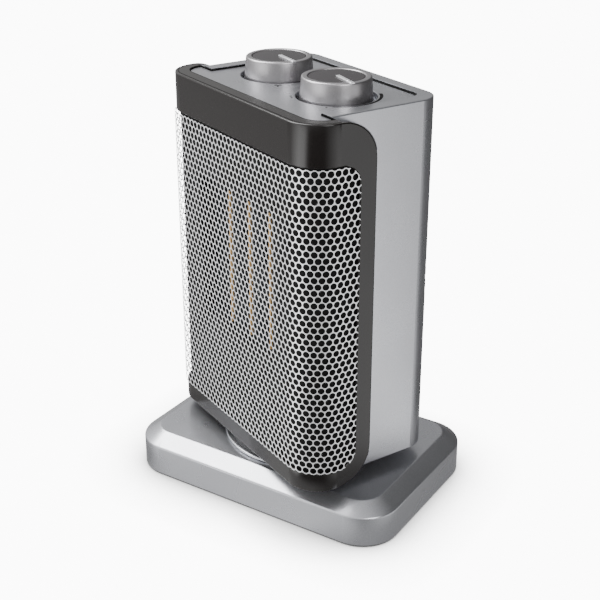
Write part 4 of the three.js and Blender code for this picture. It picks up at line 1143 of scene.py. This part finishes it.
stage = {
    "floorSize": 6,
    "floorColour": "#3c3c3c",
    "floorRoughness": 0.8,
    "seenWhite": 11,  # the paper is burnt out to white for the camera alone
    "glowScale": 4,
    # what the object sees of the paper: compass angle round it, and the glow there
    "glowFar": (
        (-180, 0.34), (-148, 0.6), (-126, 2.8), (-118, 3.9), (-100, 3.6), (-88, 0.2), (-80, 0),
        (-42, 0), (-24, 0.9), (-4, 1.8), (10, 1.8), (18, 0.4), (31, 0.02), (110, 0.03),
        (150, 0.2), (180, 0.34),
    ),
    "glowNear": (
        (-180, 0.1), (-146, 0.12), (-134, 0.82), (-60, 1.05), (-40, 0.38), (-20, 0.35), (45, 0.28),
        (90, 0.15), (180, 0.1),
    ),
    "contact": 0.045,  # reach of the soft contact shade on the paper, metres
    "contactPower": 3,
    "ring": (0.125, 0.165),  # between them the near glow gives way to the far one
    "sky": {"level": 0.44, "left": 0.68, "front": 0.62, "up": 0.5, "least": 0.1},
    "lights": (  # name, place, aimed at, size, watts
        ("leftSoftbox", (-1.1, -0.75, 1.05), (0, 0, 0.1), (1.0, 1.2), 12),
        ("topSoftbox", (-0.75, 0.0, 1.3), (0, 0, 0.1), (0.9, 0.9), 30),
        ("rightSoftbox", (1.2, -0.7, 0.9), (0, 0, 0.12), (0.7, 1.1), 12),
    ),
}


def addLight(name, location, target, size, power):
    light = bpy.data.lights.new(name, "AREA")
    light.shape = "RECTANGLE"
    light.size, light.size_y = size
    light.energy = power
    lamp = bpy.data.objects.new(name, light)
    lamp.location = location
    lamp.rotation_euler = (Vector(target) - Vector(location)).to_track_quat("-Z", "Y").to_euler()
    bpy.context.scene.collection.objects.link(lamp)


def seenWhite(tree, level, white=None):
    # white to the camera, and the given level to everything that is lit or mirrored
    ray = addNode(tree, "ShaderNodeLightPath")
    mix = addNode(
        tree, "ShaderNodeMix", {"data_type": "FLOAT", 3: stage["seenWhite"]},
        {0: ray.outputs["Is Camera Ray"], 2: level},
    )
    if white:
        tree.links.new(white, mix.inputs[3])
    return mix.outputs[0]


def makeStage():
    bm = bmesh.new()
    bmesh.ops.create_grid(bm, x_segments=1, y_segments=1, size=stage["floorSize"])
    mesh = setAside(bm, "floor")
    floor = bpy.data.objects.new("floor", mesh)
    material = bpy.data.materials.new("whitePaper")
    material.use_nodes = True
    tree = material.node_tree
    shader = tree.nodes["Principled BSDF"]
    shader.inputs["Base Color"].default_value = linearColour(stage["floorColour"])
    shader.inputs["Roughness"].default_value = stage["floorRoughness"]
    shader.inputs["Emission Color"].default_value = (1, 1, 1, 1)
    spot = addNode(tree, "ShaderNodeTexCoord").outputs["Object"]
    around = addNode(
        tree, "ShaderNodeTexGradient", {"gradient_type": "RADIAL"}, {"Vector": spot}
    )
    ramps = []
    for table in (stage["glowNear"], stage["glowFar"]):
        ramp = addNode(tree, "ShaderNodeValToRGB", {}, {"Fac": around.outputs["Fac"]})
        stops = ramp.color_ramp.elements
        for index, (angle, glow) in enumerate(table):
            share = angle / 360 + 0.5
            stop = stops[index] if index < 2 else stops.new(share)
            stop.position = share
            level = glow / stage["glowScale"]
            stop.color = (level, level, level, 1)
        ramps.append(ramp.outputs["Color"])
    away = addNode(tree, "ShaderNodeVectorMath", {"operation": "LENGTH"}, {0: spot})
    start, end = stage["ring"]
    ring = addNode(
        tree, "ShaderNodeMapRange", {"From Min": start, "From Max": end},
        {"Value": away.outputs["Value"]},
    )
    both = addNode(
        tree, "ShaderNodeMix", {"data_type": "RGBA"},
        {0: ring.outputs["Result"], 6: ramps[0], 7: ramps[1]},
    )
    glow = addNode(
        tree, "ShaderNodeMath", {"operation": "MULTIPLY", 1: stage["glowScale"]},
        {0: both.outputs[2]},
    )
    beside = addNode(
        tree, "ShaderNodeAmbientOcclusion", {"samples": 8, "Distance": stage["contact"]}
    )
    shade = addNode(
        tree, "ShaderNodeMath", {"operation": "POWER", 1: stage["contactPower"]},
        {0: beside.outputs["AO"]},
    )
    white = addNode(
        tree, "ShaderNodeMath", {"operation": "MULTIPLY", 1: stage["seenWhite"]},
        {0: shade.outputs[0]},
    )
    strength = seenWhite(tree, glow.outputs[0], white.outputs[0])
    tree.links.new(strength, shader.inputs["Emission Strength"])
    mesh.materials.append(material)
    bpy.context.scene.collection.objects.link(floor)


def makeWorld():
    # a tent of soft light: brighter from the left, the front and above
    sky = stage["sky"]
    world = bpy.data.worlds.new("studioTent")
    world.use_nodes = True
    tree = world.node_tree
    place = addNode(tree, "ShaderNodeTexCoord")
    level = addNode(
        tree, "ShaderNodeVectorMath",
        {"operation": "DOT_PRODUCT", 1: (-sky["left"], -sky["front"], sky["up"])},
        {0: place.outputs["Generated"]},
    )
    lifted = addNode(
        tree, "ShaderNodeMath", {"operation": "ADD", 1: sky["level"]}, {0: level.outputs["Value"]}
    )
    least = addNode(
        tree, "ShaderNodeMath", {"operation": "MAXIMUM", 1: sky["least"]}, {0: lifted.outputs[0]}
    )
    background = tree.nodes["Background"]
    background.inputs["Color"].default_value = (1, 1, 1, 1)
    tree.links.new(seenWhite(tree, least.outputs[0]), background.inputs["Strength"])
    bpy.context.scene.world = world


makeStage()
makeWorld()
for light in stage["lights"]:
    addLight(*light)
print("stage: floor, tent and", len(stage["lights"]), "lights")
